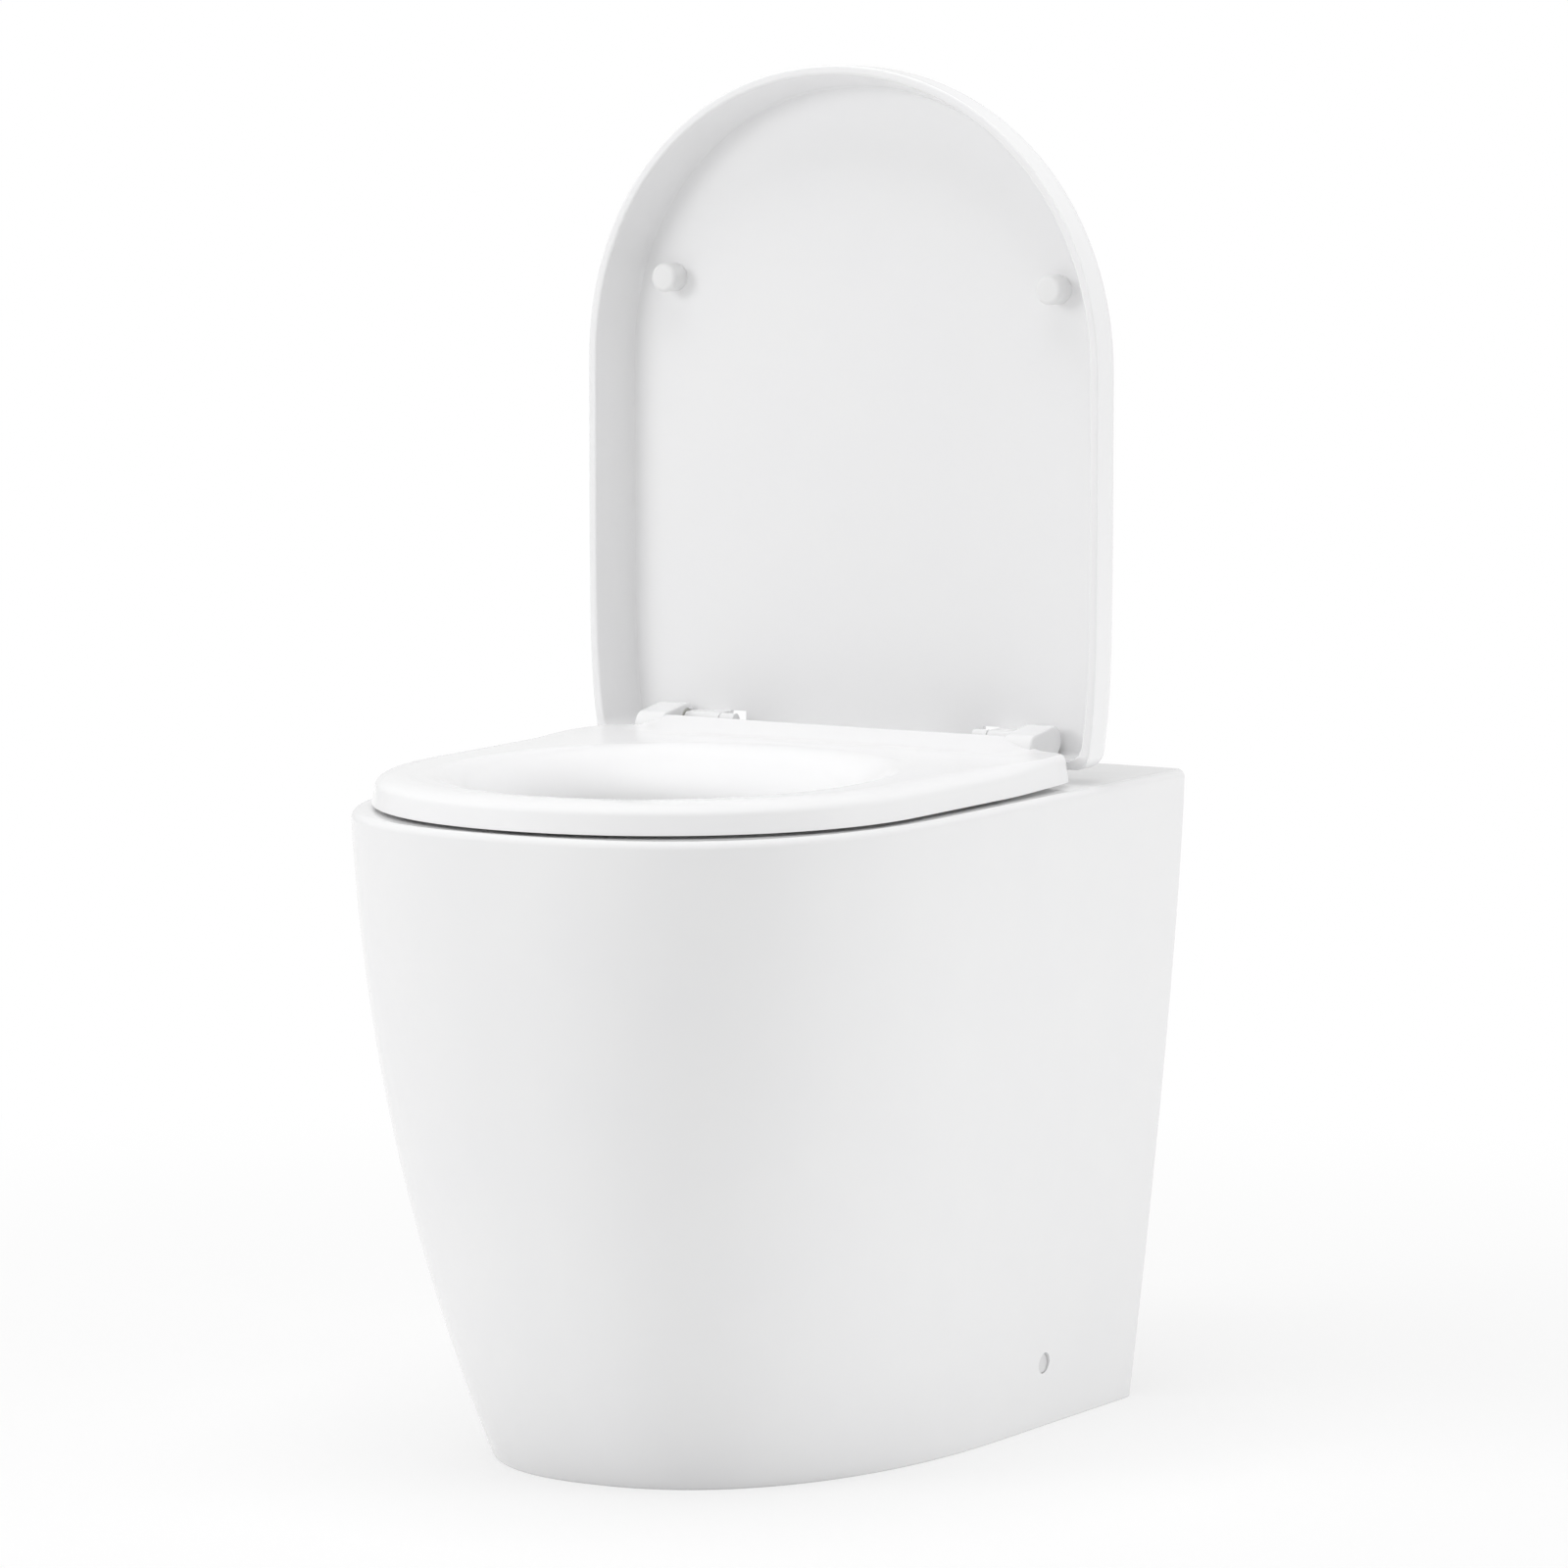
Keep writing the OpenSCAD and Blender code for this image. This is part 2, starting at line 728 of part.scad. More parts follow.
// Section of the ring: [distance in from the outer edge, height] and then from the opening's edge
seat_outer_side = concat(
    [[1, seat_z], [0, seat_z + 1]],
    [for (a = [0 : 30 : 90]) [seat_draft + seat_edge * (1 - cos(a)), seat_top - seat_edge * (1 - sin(a))]]);
seat_inner_side = concat(
    [for (a = [0 : 22.5 : 90])
        [inner_run * (1 - sin(a)), seat_top - seat_fall - inner_drop * (1 - cos(a))]],
    [[0, seat_z + 1], [1, seat_z]]);

module seat_body() {
    rings = [for (p = seat_outline)
        let (
            q = opening_point(p),
            in = (q - p) / norm(q - p))
        concat(
            [for (s = seat_outer_side) [p.x + in.x * s[0], p.y + in.y * s[0], s[1]]],
            [for (s = seat_inner_side) [q.x - in.x * s[0], q.y - in.y * s[0], s[1]]])];
    band(rings);
}

// Each pad's place is [distance from the middle, distance from the wall]
pad_side = 43;
pad_rear_d = 200;
pad_tip = 86;
pad_draw_in = 22;
pad_spots = [
    [pan_w / 2 - pad_side, pad_rear_d],
    [pan_w / 2 - pad_side - pad_draw_in, pan_l - pad_tip]];
pad_stem_r = 2.5;
pad_stem_l = 6;

// Side view of a lug: the boss on the hinge axis and the lower nose ahead of it, flat between
// their tops, and cut level with the underside of the boss
module lug_profile() {
    nose = [-lug_nose_ahead, -lug_nose_low];
    up = atan2(lug_nose_low, lug_nose_ahead) + acos((lug_nose_r - lug_r) / norm(nose));
    normal = [cos(up), sin(up)];
    translate([hinge_y, hinge_z])
        difference() {
            union() {
                circle(r = lug_r);
                translate(nose)
                    circle(r = lug_nose_r);
                polygon([
                    nose + lug_nose_r * normal,
                    lug_r * normal,
                    [0, -lug_r],
                    [nose.x, -lug_r]]);
            }
            translate([nose.x - lug_nose_r - cut, -2 * lug_r])
                square([lug_nose_ahead + 2 * lug_r, lug_r]);
        }
}

module seat_ring() {
    color(seat_white)
        difference() {
            union() {
                seat_body();
                on_both_sides()
                    across(lug_in, lug_x)
                        lug_profile();
            }
            on_both_sides() {
                hinge_bar(damper_r + pin_fit, lug_in - cut, lug_x - lug_wall);
                for (spot = pad_spots)
                    translate([spot.x, wall_y - spot.y, seat_z - cut])
                        cylinder(r = pad_stem_r + pin_fit, h = pad_stem_l + cut);
            }
        }
}

module seat_pads() {
    color(pale_rubber)
        on_both_sides()
            for (spot = pad_spots)
                translate([spot.x, wall_y - spot.y, 0]) {
                    translate([0, 0, pan_h + seat_fit])
                        cylinder(r = pad_r, h = seat_gap - seat_fit);
                    translate([0, 0, seat_z - cut])
                        cylinder(r = pad_stem_r, h = pad_stem_l - seat_fit + cut);
                }
}

// ---- Lid ----

outer_draft = 0.5;
lid_edge_steps = 5;
lid_fillet = 10;
lid_fillet_in = 2.5;
lid_back_in = lug_r + lug_gap;
lid_back = lid_back_in + lid_back_wall;
deck_clear = 3;
relief_r = hinge_rise - deck_clear;
notch_gap = 2;

function lid_ring(z, inset, back) = at_height(both_sides(d_half(
    seat_half + lid_grow - inset,
    seat_front + lid_grow - inset,
    back,
    seat_nose_l + lid_grow - inset,
    seat_square, side_ease, back_corner_r, 1)), z);

module lid_outside() {
    shoulder = lid_top - lid_round;
    back = hinge_d - lid_back;
    loft(concat(
        [lid_ring(lid_z, 0, back), lid_ring(shoulder, outer_draft, back)],
        [for (k = [1 : lid_edge_steps]) let (a = 90 * k / lid_edge_steps)
            lid_ring(shoulder + lid_round * sin(a),
                outer_draft + lid_round * (1 - cos(a)),
                back + lid_back_round * (1 - cos(a)))]));
}

// The wall leans in evenly, and a fillet takes it over into the panel
module lid_inside() {
    lean = lid_draft / (lid_ceiling - lid_z);
    loft(concat(
        [for (z = [lid_z - cut, lid_z, lid_ceiling - lid_fillet])
            lid_ring(z, lid_wall + lean * (z - lid_z), hinge_d - lid_back_in)],
        [for (k = [1 : edge_steps])
            let (a = 90 * k / edge_steps, z = lid_ceiling - lid_fillet * (1 - sin(a)))
            lid_ring(z, lid_wall + lean * (z - lid_z) + lid_fillet_in * (1 - cos(a)),
                hinge_d - lid_back_in + lid_fillet * (1 - cos(a)))]));
}

// The lid as it lies when it is shut
module lid_shut() {
    difference() {
        union() {
            difference() {
                lid_outside();
                lid_inside();
            }
            on_both_sides()
                across(arm_in, arm_out) {
                    translate([hinge_y, hinge_z])
                        circle(r = arm_r);
                    translate([hinge_y - arm_r, hinge_z])
                        square([2 * arm_r, lid_ceiling + lid_panel / 2 - hinge_z]);
                }
        }
        on_both_sides()
            hinge_bar(pin_r + pin_fit, arm_in - cut, arm_out + cut);
        // The rear edge is rounded about the hinge axis, so that it clears the deck as it turns
        difference() {
            across(-pan_w, pan_w)
                translate([hinge_y, lid_z - cut])
                    square([2 * lid_back, hinge_z - lid_z + cut]);
            hinge_bar(relief_r, -pan_w - cut, pan_w + cut);
        }
        // The rear wall is notched over the base plates, and slotted so that it can pass the posts
        on_both_sides() {
            translate([plate_in - notch_gap, hinge_y + arm_r + side_gap, lid_z - cut])
                cube([plate_out - plate_in + 2 * notch_gap, 2 * lid_back,
                    hinge_z - lid_z + cut + arm_r + side_gap]);
            translate([post_in - side_gap, hinge_y - arm_r - side_gap, hinge_z + arm_r + side_gap])
                cube([post_w + 2 * side_gap, 2 * lid_back, lid_depth]);
        }
        on_both_sides()
            translate([buffer_x, hinge_y - buffer_reach, lid_ceiling - cut])
                cylinder(r = buffer_stem_r + pin_fit, h = buffer_stem_l + cut);
    }
}

// Turns a part of the shut lid back to its open place
module opened() {
    translate([0, hinge_y, hinge_z])
        rotate([-90, 0, 0])
            translate([0, -hinge_y, -hinge_z])
                children();
}

module lid() {
    color(seat_white)
        opened()
            lid_shut();
}

buffer_stem_r = 3;
buffer_stem_l = 2;

module lid_buffers() {
    low = seat_top + flush_fit;
    dome = 3;
    color(pale_rubber)
        opened()
            on_both_sides()
                translate([buffer_x, hinge_y - buffer_reach, 0])
                    rotate_extrude()
                        polygon(concat(
                            [[0, low]],
                            [for (a = [0 : 30 : 90])
                                [buffer_r - dome + dome * sin(a), low + dome - dome * cos(a)]],
                            [[buffer_r, lid_ceiling], [buffer_stem_r, lid_ceiling],
                                [buffer_stem_r, lid_ceiling + buffer_stem_l], [0, lid_ceiling + buffer_stem_l]]));
}

pan();
inlet_seal();
floor_bracket_left();
floor_bracket_right();
captive_nuts();
side_bushes();
side_screws();
side_caps();
hinge_gaskets();
hinge_post_left();
hinge_post_right();
hinge_bolts();
expanding_bushes();
cone_nuts();
hinge_pin_left();
hinge_pin_right();
damper_left();
damper_right();
seat_ring();
seat_pads();
lid();
lid_buffers();
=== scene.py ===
# %% [markdown]
# # A back to wall toilet, dressed around its CAD frame
#
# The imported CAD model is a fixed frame: it says how big every part is, where it stands and on
# which body it moves. This script keeps that frame and gives it the looks of the real thing: a
# glazed china pan, and a seat ring and lid moulded in glossy plastic.
#
# China and moulded plastic have no flat facets, so the three big parts are made again here as
# smooth surfaces, from the same formulas and sizes as the CAD solids. A few soft forms that only
# the eye needs, such as the crowned edge of the seat, are added on the way. The small hardware
# of the hinges keeps its CAD mesh and gets a fitting material.

import math

import bpy
import numpy as np
from mathutils import Matrix, Vector


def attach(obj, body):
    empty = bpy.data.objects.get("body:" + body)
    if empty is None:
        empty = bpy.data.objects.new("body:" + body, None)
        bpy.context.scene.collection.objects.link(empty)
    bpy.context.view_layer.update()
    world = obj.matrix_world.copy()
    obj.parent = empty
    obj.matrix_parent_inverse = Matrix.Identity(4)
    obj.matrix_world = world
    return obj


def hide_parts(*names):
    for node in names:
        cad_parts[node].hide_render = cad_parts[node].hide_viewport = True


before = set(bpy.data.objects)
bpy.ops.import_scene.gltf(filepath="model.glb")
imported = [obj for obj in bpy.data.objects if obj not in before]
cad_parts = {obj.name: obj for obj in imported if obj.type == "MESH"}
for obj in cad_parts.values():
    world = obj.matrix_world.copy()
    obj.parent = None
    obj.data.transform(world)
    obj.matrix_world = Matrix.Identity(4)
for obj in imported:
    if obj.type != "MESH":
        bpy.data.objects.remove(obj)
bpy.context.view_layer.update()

# %% [markdown]
# ## The camera
#
# The camera stands in front of the toilet, a little to its right and barely above the seat, and
# looks at it through a long lens. A long lens from far away keeps upright lines nearly parallel,
# which is how a product is usually photographed.

# %% Camera
VIEW_AZIMUTH = math.radians(30.569)
VIEW_ELEVATION = math.radians(6.614)
VIEW_PLACE = (2.63361, -4.38851, 0.99838)
VIEW_LENS = 194.74
SENSOR = 36.0


def camera_axes(azimuth, elevation):
    """Right, up and back directions of a camera that looks down at the object.

    back points from the object to the camera: it is turned by the azimuth from -Y towards +X,
    then raised by the elevation. right is level, and up is back crossed with right.
    """
    back = Vector((
        math.sin(azimuth) * math.cos(elevation),
        -math.cos(azimuth) * math.cos(elevation),
        math.sin(elevation),
    ))
    right = Vector((math.cos(azimuth), math.sin(azimuth), 0.0))
    return right, back.cross(right), back


camera_data = bpy.data.cameras.new("camera")
camera_data.lens = VIEW_LENS
camera_data.sensor_width = SENSOR
camera_data.sensor_fit = "HORIZONTAL"
camera_data.clip_end = 50.0
camera = bpy.data.objects.new("camera", camera_data)
bpy.context.scene.collection.objects.link(camera)
turn = Matrix(camera_axes(VIEW_AZIMUTH, VIEW_ELEVATION)).transposed().to_4x4()
camera.matrix_world = Matrix.Translation(VIEW_PLACE) @ turn
bpy.context.scene.camera = camera
print("camera at", [round(v, 3) for v in VIEW_PLACE], "with a lens of", VIEW_LENS, "mm")

# %% [markdown]
# ## Sizes
#
# All sizes are in millimetres and are those of the CAD part. Distances that end in `_D` are
# measured from the wall, because a toilet of this kind is set out from there. A point at the
# distance d from the wall has y = WALL_Y - d. CUT is how far a cutting tool reaches past the
# face that it cuts.

# %% Sizes of the pan
MM = 0.001
CUT = 1.0
PAN_H, PAN_L, PAN_W = 400.0, 505.0, 366.0
FOOT_L, FOOT_W = 412.0, 292.0
RIM_NOSE, FOOT_NOSE = 230.0, 245.0
RIM_SQUARE, FOOT_SQUARE = 2.6, 2.3
SIDE_POWER, FRONT_POWER = 1.3, 2.2
CHINA, DECK_T = 11.0, 20.0
RIM_R, WALL_CORNER = 5.0, 3.0
WALL_Y = PAN_L / 2

BOWL_A, BOWL_B, BOWL_D, BOWL_SQUARE = 120.0, 136.0, 317.0, 2.2
LIP_R = 5.0
SUMP_R, SUMP_D, SUMP_Z = 38.0, 276.0, 88.0
TRAP_R, OUTLET_R, SPIGOT_R, TRAP_WALL = 27.0, 45.0, 51.0, 5.7
OUTLET_Z, SPIGOT_D, SPIGOT_L, SPIGOT_ROOT = 180.0, 20.0, 40.0, 5.0
INLET_Z, INLET_R, INLET_BORE, INLET_D = 333.0, 38.0, 27.5, 50.0
HOLE_X, HOLE_R = 77.5, 7.5
SIDE_Z, SIDE_D, SIDE_HOLE_R = 41.5, 122.5, 6.6
CAP_SUNK, CAP_T, SEAT_FIT = 1.5, 2.5, 0.2

# %% Sizes of the seat, the lid and their hinges
HINGE_D, HINGE_Z = 96.0, 424.0
HINGE_Y = WALL_Y - HINGE_D
SIDE_EASE, EASE_POWER, BACK_CORNER = 5.0, 7, 12.0
SEAT_Z, SEAT_T = 403.0, 17.5
SEAT_TOP = SEAT_Z + SEAT_T
SEAT_HALF, SEAT_FRONT, SEAT_NOSE, SEAT_SQUARE = 173.5, 500.0, 178.0, 2.06
SEAT_BACK_D = 117.0
OPENING_A, OPENING_B, OPENING_D, OPENING_SQUARE = 106.0, 122.0, 322.0, 2.1
SEAT_DRAFT, SEAT_EDGE, SEAT_FALL = 2.0, 4.5, 0.3
EDGE_ACROSS, EDGE_DOWN, EDGE_FROM, EDGE_RUN = 18.0, 7.5, 150.0, 60.0
SEAT_RIM_T, SEAT_RIM_DROP, REAR_RIM_DROP = 3.0, 1.0, 0.1
INNER_RUN, INNER_SQUARE, REAR_REACH = 30.0, 1.6, 18.0
SKIRT_T, SKIRT_BACK, SKIRT_Z = 3.0, 9.5, 389.0
LIP_RISE, LIP_RUN, LIP_HALF, LIP_EASE = 9.2, 26.0, 152.0, 34.0
LUG_R, LUG_X, LUG_W, LUG_WALL = 9.5, 142.0, 20.0, 3.0
LUG_NOSE_R, LUG_NOSE_Y, LUG_NOSE_Z = 8.7, -22.3, -2.5
DAMPER_R, PIN_R, PIN_FIT = 6.4, 2.5, 0.06

LID_Z, LID_DEPTH, LID_PANEL = 404.0, 35.0, 3.5
LID_TOP = LID_Z + LID_DEPTH
LID_CEILING = LID_TOP - LID_PANEL
LID_WALL, LID_GROW, LID_DRAFT = 5.2, 8.5, 9.0
LID_ROUND, LID_BACK_ROUND = 18.0, 10.0
LID_FILLET, LID_FILLET_IN = 3.0, 0.8
LID_BACK, LID_BACK_IN = 15.0, 10.0
OUTER_DRAFT = 0.5
ARM_R, ARM_IN, ARM_OUT = 4.75, 96.6, 121.4
POST_IN, POST_OUT = 86.0, 96.0
PLATE_IN, PLATE_OUT = 63.5, 102.0
RELIEF_R, NOTCH_GAP, SIDE_GAP = 21.0, 2.0, 0.6
BUFFER_R, BUFFER_X, BUFFER_REACH = 9.0, 137.5, 277.0
BUFFER_STEM_R, BUFFER_STEM_L, BUFFER_DOME = 3.0, 2.0, 3.0
PAD_R, PAD_STEM_R, PAD_STEM_L = 8.0, 2.5, 6.0
PAD_SPOTS = ((140.0, 200.0), (118.0, 419.0))
print("pan", PAN_W, "x", PAN_L, "x", PAN_H, "mm, hinge axis", HINGE_D, "mm from the wall")

# %% [markdown]
# ## Helpers for materials
#
# Colours are written as sRGB hex values, as in a paint program, and one function turns them to
# the linear values that a renderer works with. One more small function adds a shader node, sets
# it and links it, so that each material below reads as a list of its layers.

# %% Colour and node helpers
def linear(hex_colour):
    """sRGB hex to linear RGBA: below 0.04045 divide by 12.92, above it a power of 2.4."""
    parts = [int(hex_colour[i:i + 2], 16) / 255 for i in (1, 3, 5)]
    return [v / 12.92 if v <= 0.04045 else ((v + 0.055) / 1.055) ** 2.4 for v in parts] + [1.0]


def add(tree, kind, settings=(), **sockets):
    """Adds a node. settings are its properties, and a socket gets a value or an output.

    A socket goes by its name, with _ for each space, or by its number, as in in6.
    """
    node = tree.nodes.new(kind)
    for key, value in dict(settings).items():
        setattr(node, key, value)
    for key, value in sockets.items():
        numbered = key[:2] == "in" and key[2:].isdigit()
        socket = node.inputs[int(key[2:]) if numbered else key.replace("_", " ")]
        if isinstance(value, bpy.types.NodeSocket):
            tree.links.new(value, socket)
        else:
            socket.default_value = value
    return node


def new_material(name):
    """An empty node material: returns it and its tree."""
    material = bpy.data.materials.new(name)
    material.use_nodes = True
    material.node_tree.nodes.clear()
    return material, material.node_tree


# %% [markdown]
# ## Glazed vitreous china
#
# A toilet pan is cast from liquid clay in a plaster mould, sprayed with a white glaze and fired.
# The glaze is a layer of glass, so reflections are sharp. It also shows how the pan was made:
# the glaze settles in long, shallow waves, and its skin has a fine ripple. Both are far too
# shallow to model, so they are bump: noise of a known width in metres, a fraction of a
# millimetre high. A faint change of tone stands for glaze that lies thicker in some places.

# %% China
CHINA_WHITE, CHINA_THICK_GLAZE = "#F3F3F3", "#F0F0F1"
GLAZE_IOR, GLAZE_ROUGH = 1.52, (0.07, 0.12)
# Widths and heights in metres: waves 55 mm wide and 0.5 mm high, ripples 3.5 mm and 0.03 mm
GLAZE_WAVE, GLAZE_WAVE_HIGH = 0.055, 0.0005
GLAZE_RIPPLE, GLAZE_RIPPLE_HIGH = 0.0035, 0.00003


def glazed_china():
    """Vitreous china with a clear glaze: white base, IOR of glass, low roughness."""
    material, tree = new_material("glazed_vitreous_china")
    place = add(tree, "ShaderNodeTexCoord").outputs["Object"]
    wave = add(tree, "ShaderNodeTexNoise", Vector=place, Scale=1 / GLAZE_WAVE, Detail=2.0)
    ripple = add(tree, "ShaderNodeTexNoise", Vector=place, Scale=1 / GLAZE_RIPPLE, Detail=3.0)
    tone = add(tree, "ShaderNodeMix", {"data_type": "RGBA"}, Factor=wave.outputs["Fac"],
               in6=linear(CHINA_WHITE), in7=linear(CHINA_THICK_GLAZE))
    gloss = add(tree, "ShaderNodeMapRange", Value=wave.outputs["Fac"],
                To_Min=GLAZE_ROUGH[0], To_Max=GLAZE_ROUGH[1])
    waves = add(tree, "ShaderNodeBump", Height=wave.outputs["Fac"], Strength=0.5,
                Distance=GLAZE_WAVE_HIGH)
    ripples = add(tree, "ShaderNodeBump", Height=ripple.outputs["Fac"], Strength=0.25,
                  Distance=GLAZE_RIPPLE_HIGH, Normal=waves.outputs["Normal"])
    glaze = add(tree, "ShaderNodeBsdfPrincipled", Base_Color=tone.outputs[2], IOR=GLAZE_IOR,
                Roughness=gloss.outputs["Result"], Normal=ripples.outputs["Normal"])
    add(tree, "ShaderNodeOutputMaterial", Surface=glaze.outputs["BSDF"])
    return material


china = glazed_china()

# %% [markdown]
# Inside the hollow foot, where nobody looks, the clay is left bare. It fires to a dull off-white
# with the grain of fine plaster.

# %% Bare clay
CLAY, CLAY_DARK, CLAY_ROUGH = "#E6E3DC", "#D9D5CC", 0.85
# In metres: the grain is 1.6 mm wide and 0.2 mm high, coarser than real so that it shows
CLAY_STAIN, CLAY_GRAIN, CLAY_GRAIN_HIGH = 0.09, 0.0016, 0.0002


def bare_clay():
    """Fired clay without glaze: rough, off-white, with a fine grain."""
    material, tree = new_material("bare_fired_clay")
    place = add(tree, "ShaderNodeTexCoord").outputs["Object"]
    grain = add(tree, "ShaderNodeTexNoise", Vector=place, Scale=1 / CLAY_GRAIN, Detail=4.0)
    stain = add(tree, "ShaderNodeTexNoise", Vector=place, Scale=1 / CLAY_STAIN, Detail=3.0)
    tone = add(tree, "ShaderNodeMix", {"data_type": "RGBA"}, Factor=stain.outputs["Fac"],
               in6=linear(CLAY), in7=linear(CLAY_DARK))
    bump = add(tree, "ShaderNodeBump", Height=grain.outputs["Fac"], Strength=0.4,
               Distance=CLAY_GRAIN_HIGH)
    body = add(tree, "ShaderNodeBsdfPrincipled", Base_Color=tone.outputs[2],
               Roughness=CLAY_ROUGH, Normal=bump.outputs["Normal"])
    add(tree, "ShaderNodeOutputMaterial", Surface=body.outputs["BSDF"])
    return material


clay = bare_clay()

# %% [markdown]
# ## Moulded plastics, rubber and steel
#
# The seat and lid are pressed in urea, a hard plastic that comes out of a polished mould almost
# as glossy as the china, with a very faint orange peel. The caps near the foot are a plainer,
# slightly greyer plastic. Buffers and pads are a soft pale elastomer, the seals are dark rubber,
# and the fixings at the foot are nylon. They differ in colour, roughness and grain, so one
# recipe makes them all.

# %% Moulded materials
CLOUD = 0.07


def moulded(name, light, dark, rough, ior, grain, high):
    """Plastic or rubber: two close tones in broad clouds, and a grain of the given width.

    The grain's width and height are in metres. It also varies the roughness by 15 percent.
    """
    material, tree = new_material(name)
    place = add(tree, "ShaderNodeTexCoord").outputs["Object"]
    cloud = add(tree, "ShaderNodeTexNoise", Vector=place, Scale=1 / CLOUD, Detail=2.0)
    peel = add(tree, "ShaderNodeTexNoise", Vector=place, Scale=1 / grain, Detail=3.0)
    tone = add(tree, "ShaderNodeMix", {"data_type": "RGBA"}, Factor=cloud.outputs["Fac"],
               in6=linear(light), in7=linear(dark))
    gloss = add(tree, "ShaderNodeMapRange", Value=peel.outputs["Fac"],
                To_Min=rough * 0.85, To_Max=rough * 1.15)
    bump = add(tree, "ShaderNodeBump", Height=peel.outputs["Fac"], Strength=0.3, Distance=high)
    body = add(tree, "ShaderNodeBsdfPrincipled", Base_Color=tone.outputs[2], IOR=ior,
               Roughness=gloss.outputs["Result"], Normal=bump.outputs["Normal"])
    add(tree, "ShaderNodeOutputMaterial", Surface=body.outputs["BSDF"])
    return material


# Pressed urea: clean white, with soft but clear reflections and hardly any grain
urea = moulded("gloss_urea_plastic", "#F6F6F6", "#F4F4F5",
               rough=0.16, ior=1.5, grain=0.0022, high=0.00002)
# Injection moulded caps: satin and greyer, so that they stand out from the china
cap_plastic = moulded("grey_white_cap_plastic", "#E2E2E2", "#DEDEDF",
                      rough=0.3, ior=1.5, grain=0.0022, high=0.00002)
# Pale elastomer: nearly matt, so its roundness shows by shade and not by reflections
elastomer = moulded("pale_elastomer", "#F2F2F2", "#EEEEEE",
                    rough=0.5, ior=1.45, grain=0.0012, high=0.00004)
# Dark rubber: matt, with a dull sheen where it turns away
seal_rubber = moulded("dark_seal_rubber", "#2C2C2E", "#252527",
                      rough=0.55, ior=1.5, grain=0.0012, high=0.00005)
# Natural nylon: warm off-white with a waxy sheen
nylon = moulded("natural_nylon", "#DEDED8", "#D5D5CE",
                rough=0.42, ior=1.53, grain=0.0015, high=0.00004)

# %% [markdown]
# Bolts and pins are stainless steel. A metal has no colour of its own under its reflections, so
# its grey is the colour of what it reflects, and fine brushed lines make those reflections long.

# %% Steel
STEEL, STEEL_DARK, STEEL_ROUGH = "#C9CBCD", "#B9BBBE", (0.24, 0.4)
# Lines about 8 mm long and 0.4 mm wide, as counts per metre, and their depth in metres
STEEL_LINES, STEEL_DEEP = (120.0, 2500.0, 2500.0), 0.00002


def brushed_steel():
    """Stainless steel, brushed along X: noise stretched into fine lines a few mm long."""
    material, tree = new_material("brushed_stainless_steel")
    place = add(tree, "ShaderNodeTexCoord").outputs["Object"]
    lay = add(tree, "ShaderNodeMapping", Vector=place, Scale=STEEL_LINES)
    lines = add(tree, "ShaderNodeTexNoise", Vector=lay.outputs["Vector"], Scale=1.0, Detail=3.0)
    gloss = add(tree, "ShaderNodeMapRange", Value=lines.outputs["Fac"],
                To_Min=STEEL_ROUGH[0], To_Max=STEEL_ROUGH[1])
    tone = add(tree, "ShaderNodeMix", {"data_type": "RGBA"}, Factor=lines.outputs["Fac"],
               in6=linear(STEEL), in7=linear(STEEL_DARK))
    bump = add(tree, "ShaderNodeBump", Height=lines.outputs["Fac"], Strength=0.2,
               Distance=STEEL_DEEP)
    body = add(tree, "ShaderNodeBsdfPrincipled", Base_Color=tone.outputs[2], Metallic=1.0,
               Roughness=gloss.outputs["Result"], Normal=bump.outputs["Normal"])
    add(tree, "ShaderNodeOutputMaterial", Surface=body.outputs["BSDF"])
    return material


steel = brushed_steel()
finishes = (china, clay, urea, cap_plastic, elastomer, seal_rubber, nylon, steel)
print("materials:", [material.name for material in finishes])

# %% [markdown]
# ## Helpers for surfaces
#
# A surface here is a grid of points: rows that run round the part, stacked from one end to the
# other. All points come out of one numpy formula at once. `skin` turns such a grid into a
# mesh that is closed at both ends, or joined back to its first row when it forms a ring.

# %% Small formulas
def mixed(low, high, share):
    """The value at a share of the way from low to high."""
    return low + (high - low) * share


def smooth(share):
    """A soft step from 0 to 1: three times the square less twice the cube."""
    return share * share * (3 - 2 * share)


def quarter(steps, first=0):
    """Angles from 0 to 90 degrees in even steps, starting at the step `first`."""
    return np.linspace(0, np.pi / 2, steps + 1)[first:]


def superellipse(angle, square):
    """Point of a superellipse with half axes of 1 that lies in the direction `angle`.

    The sine and the cosine are divided by the root, of the order `square`, of the sum of their
    powers of that order, so that the powers of the two coordinates add up to 1.
    """
    s, c = np.sin(angle), np.cos(angle)
    reach = (np.abs(s) ** square + np.abs(c) ** square) ** (1 / square)
    return s / reach, c / reach


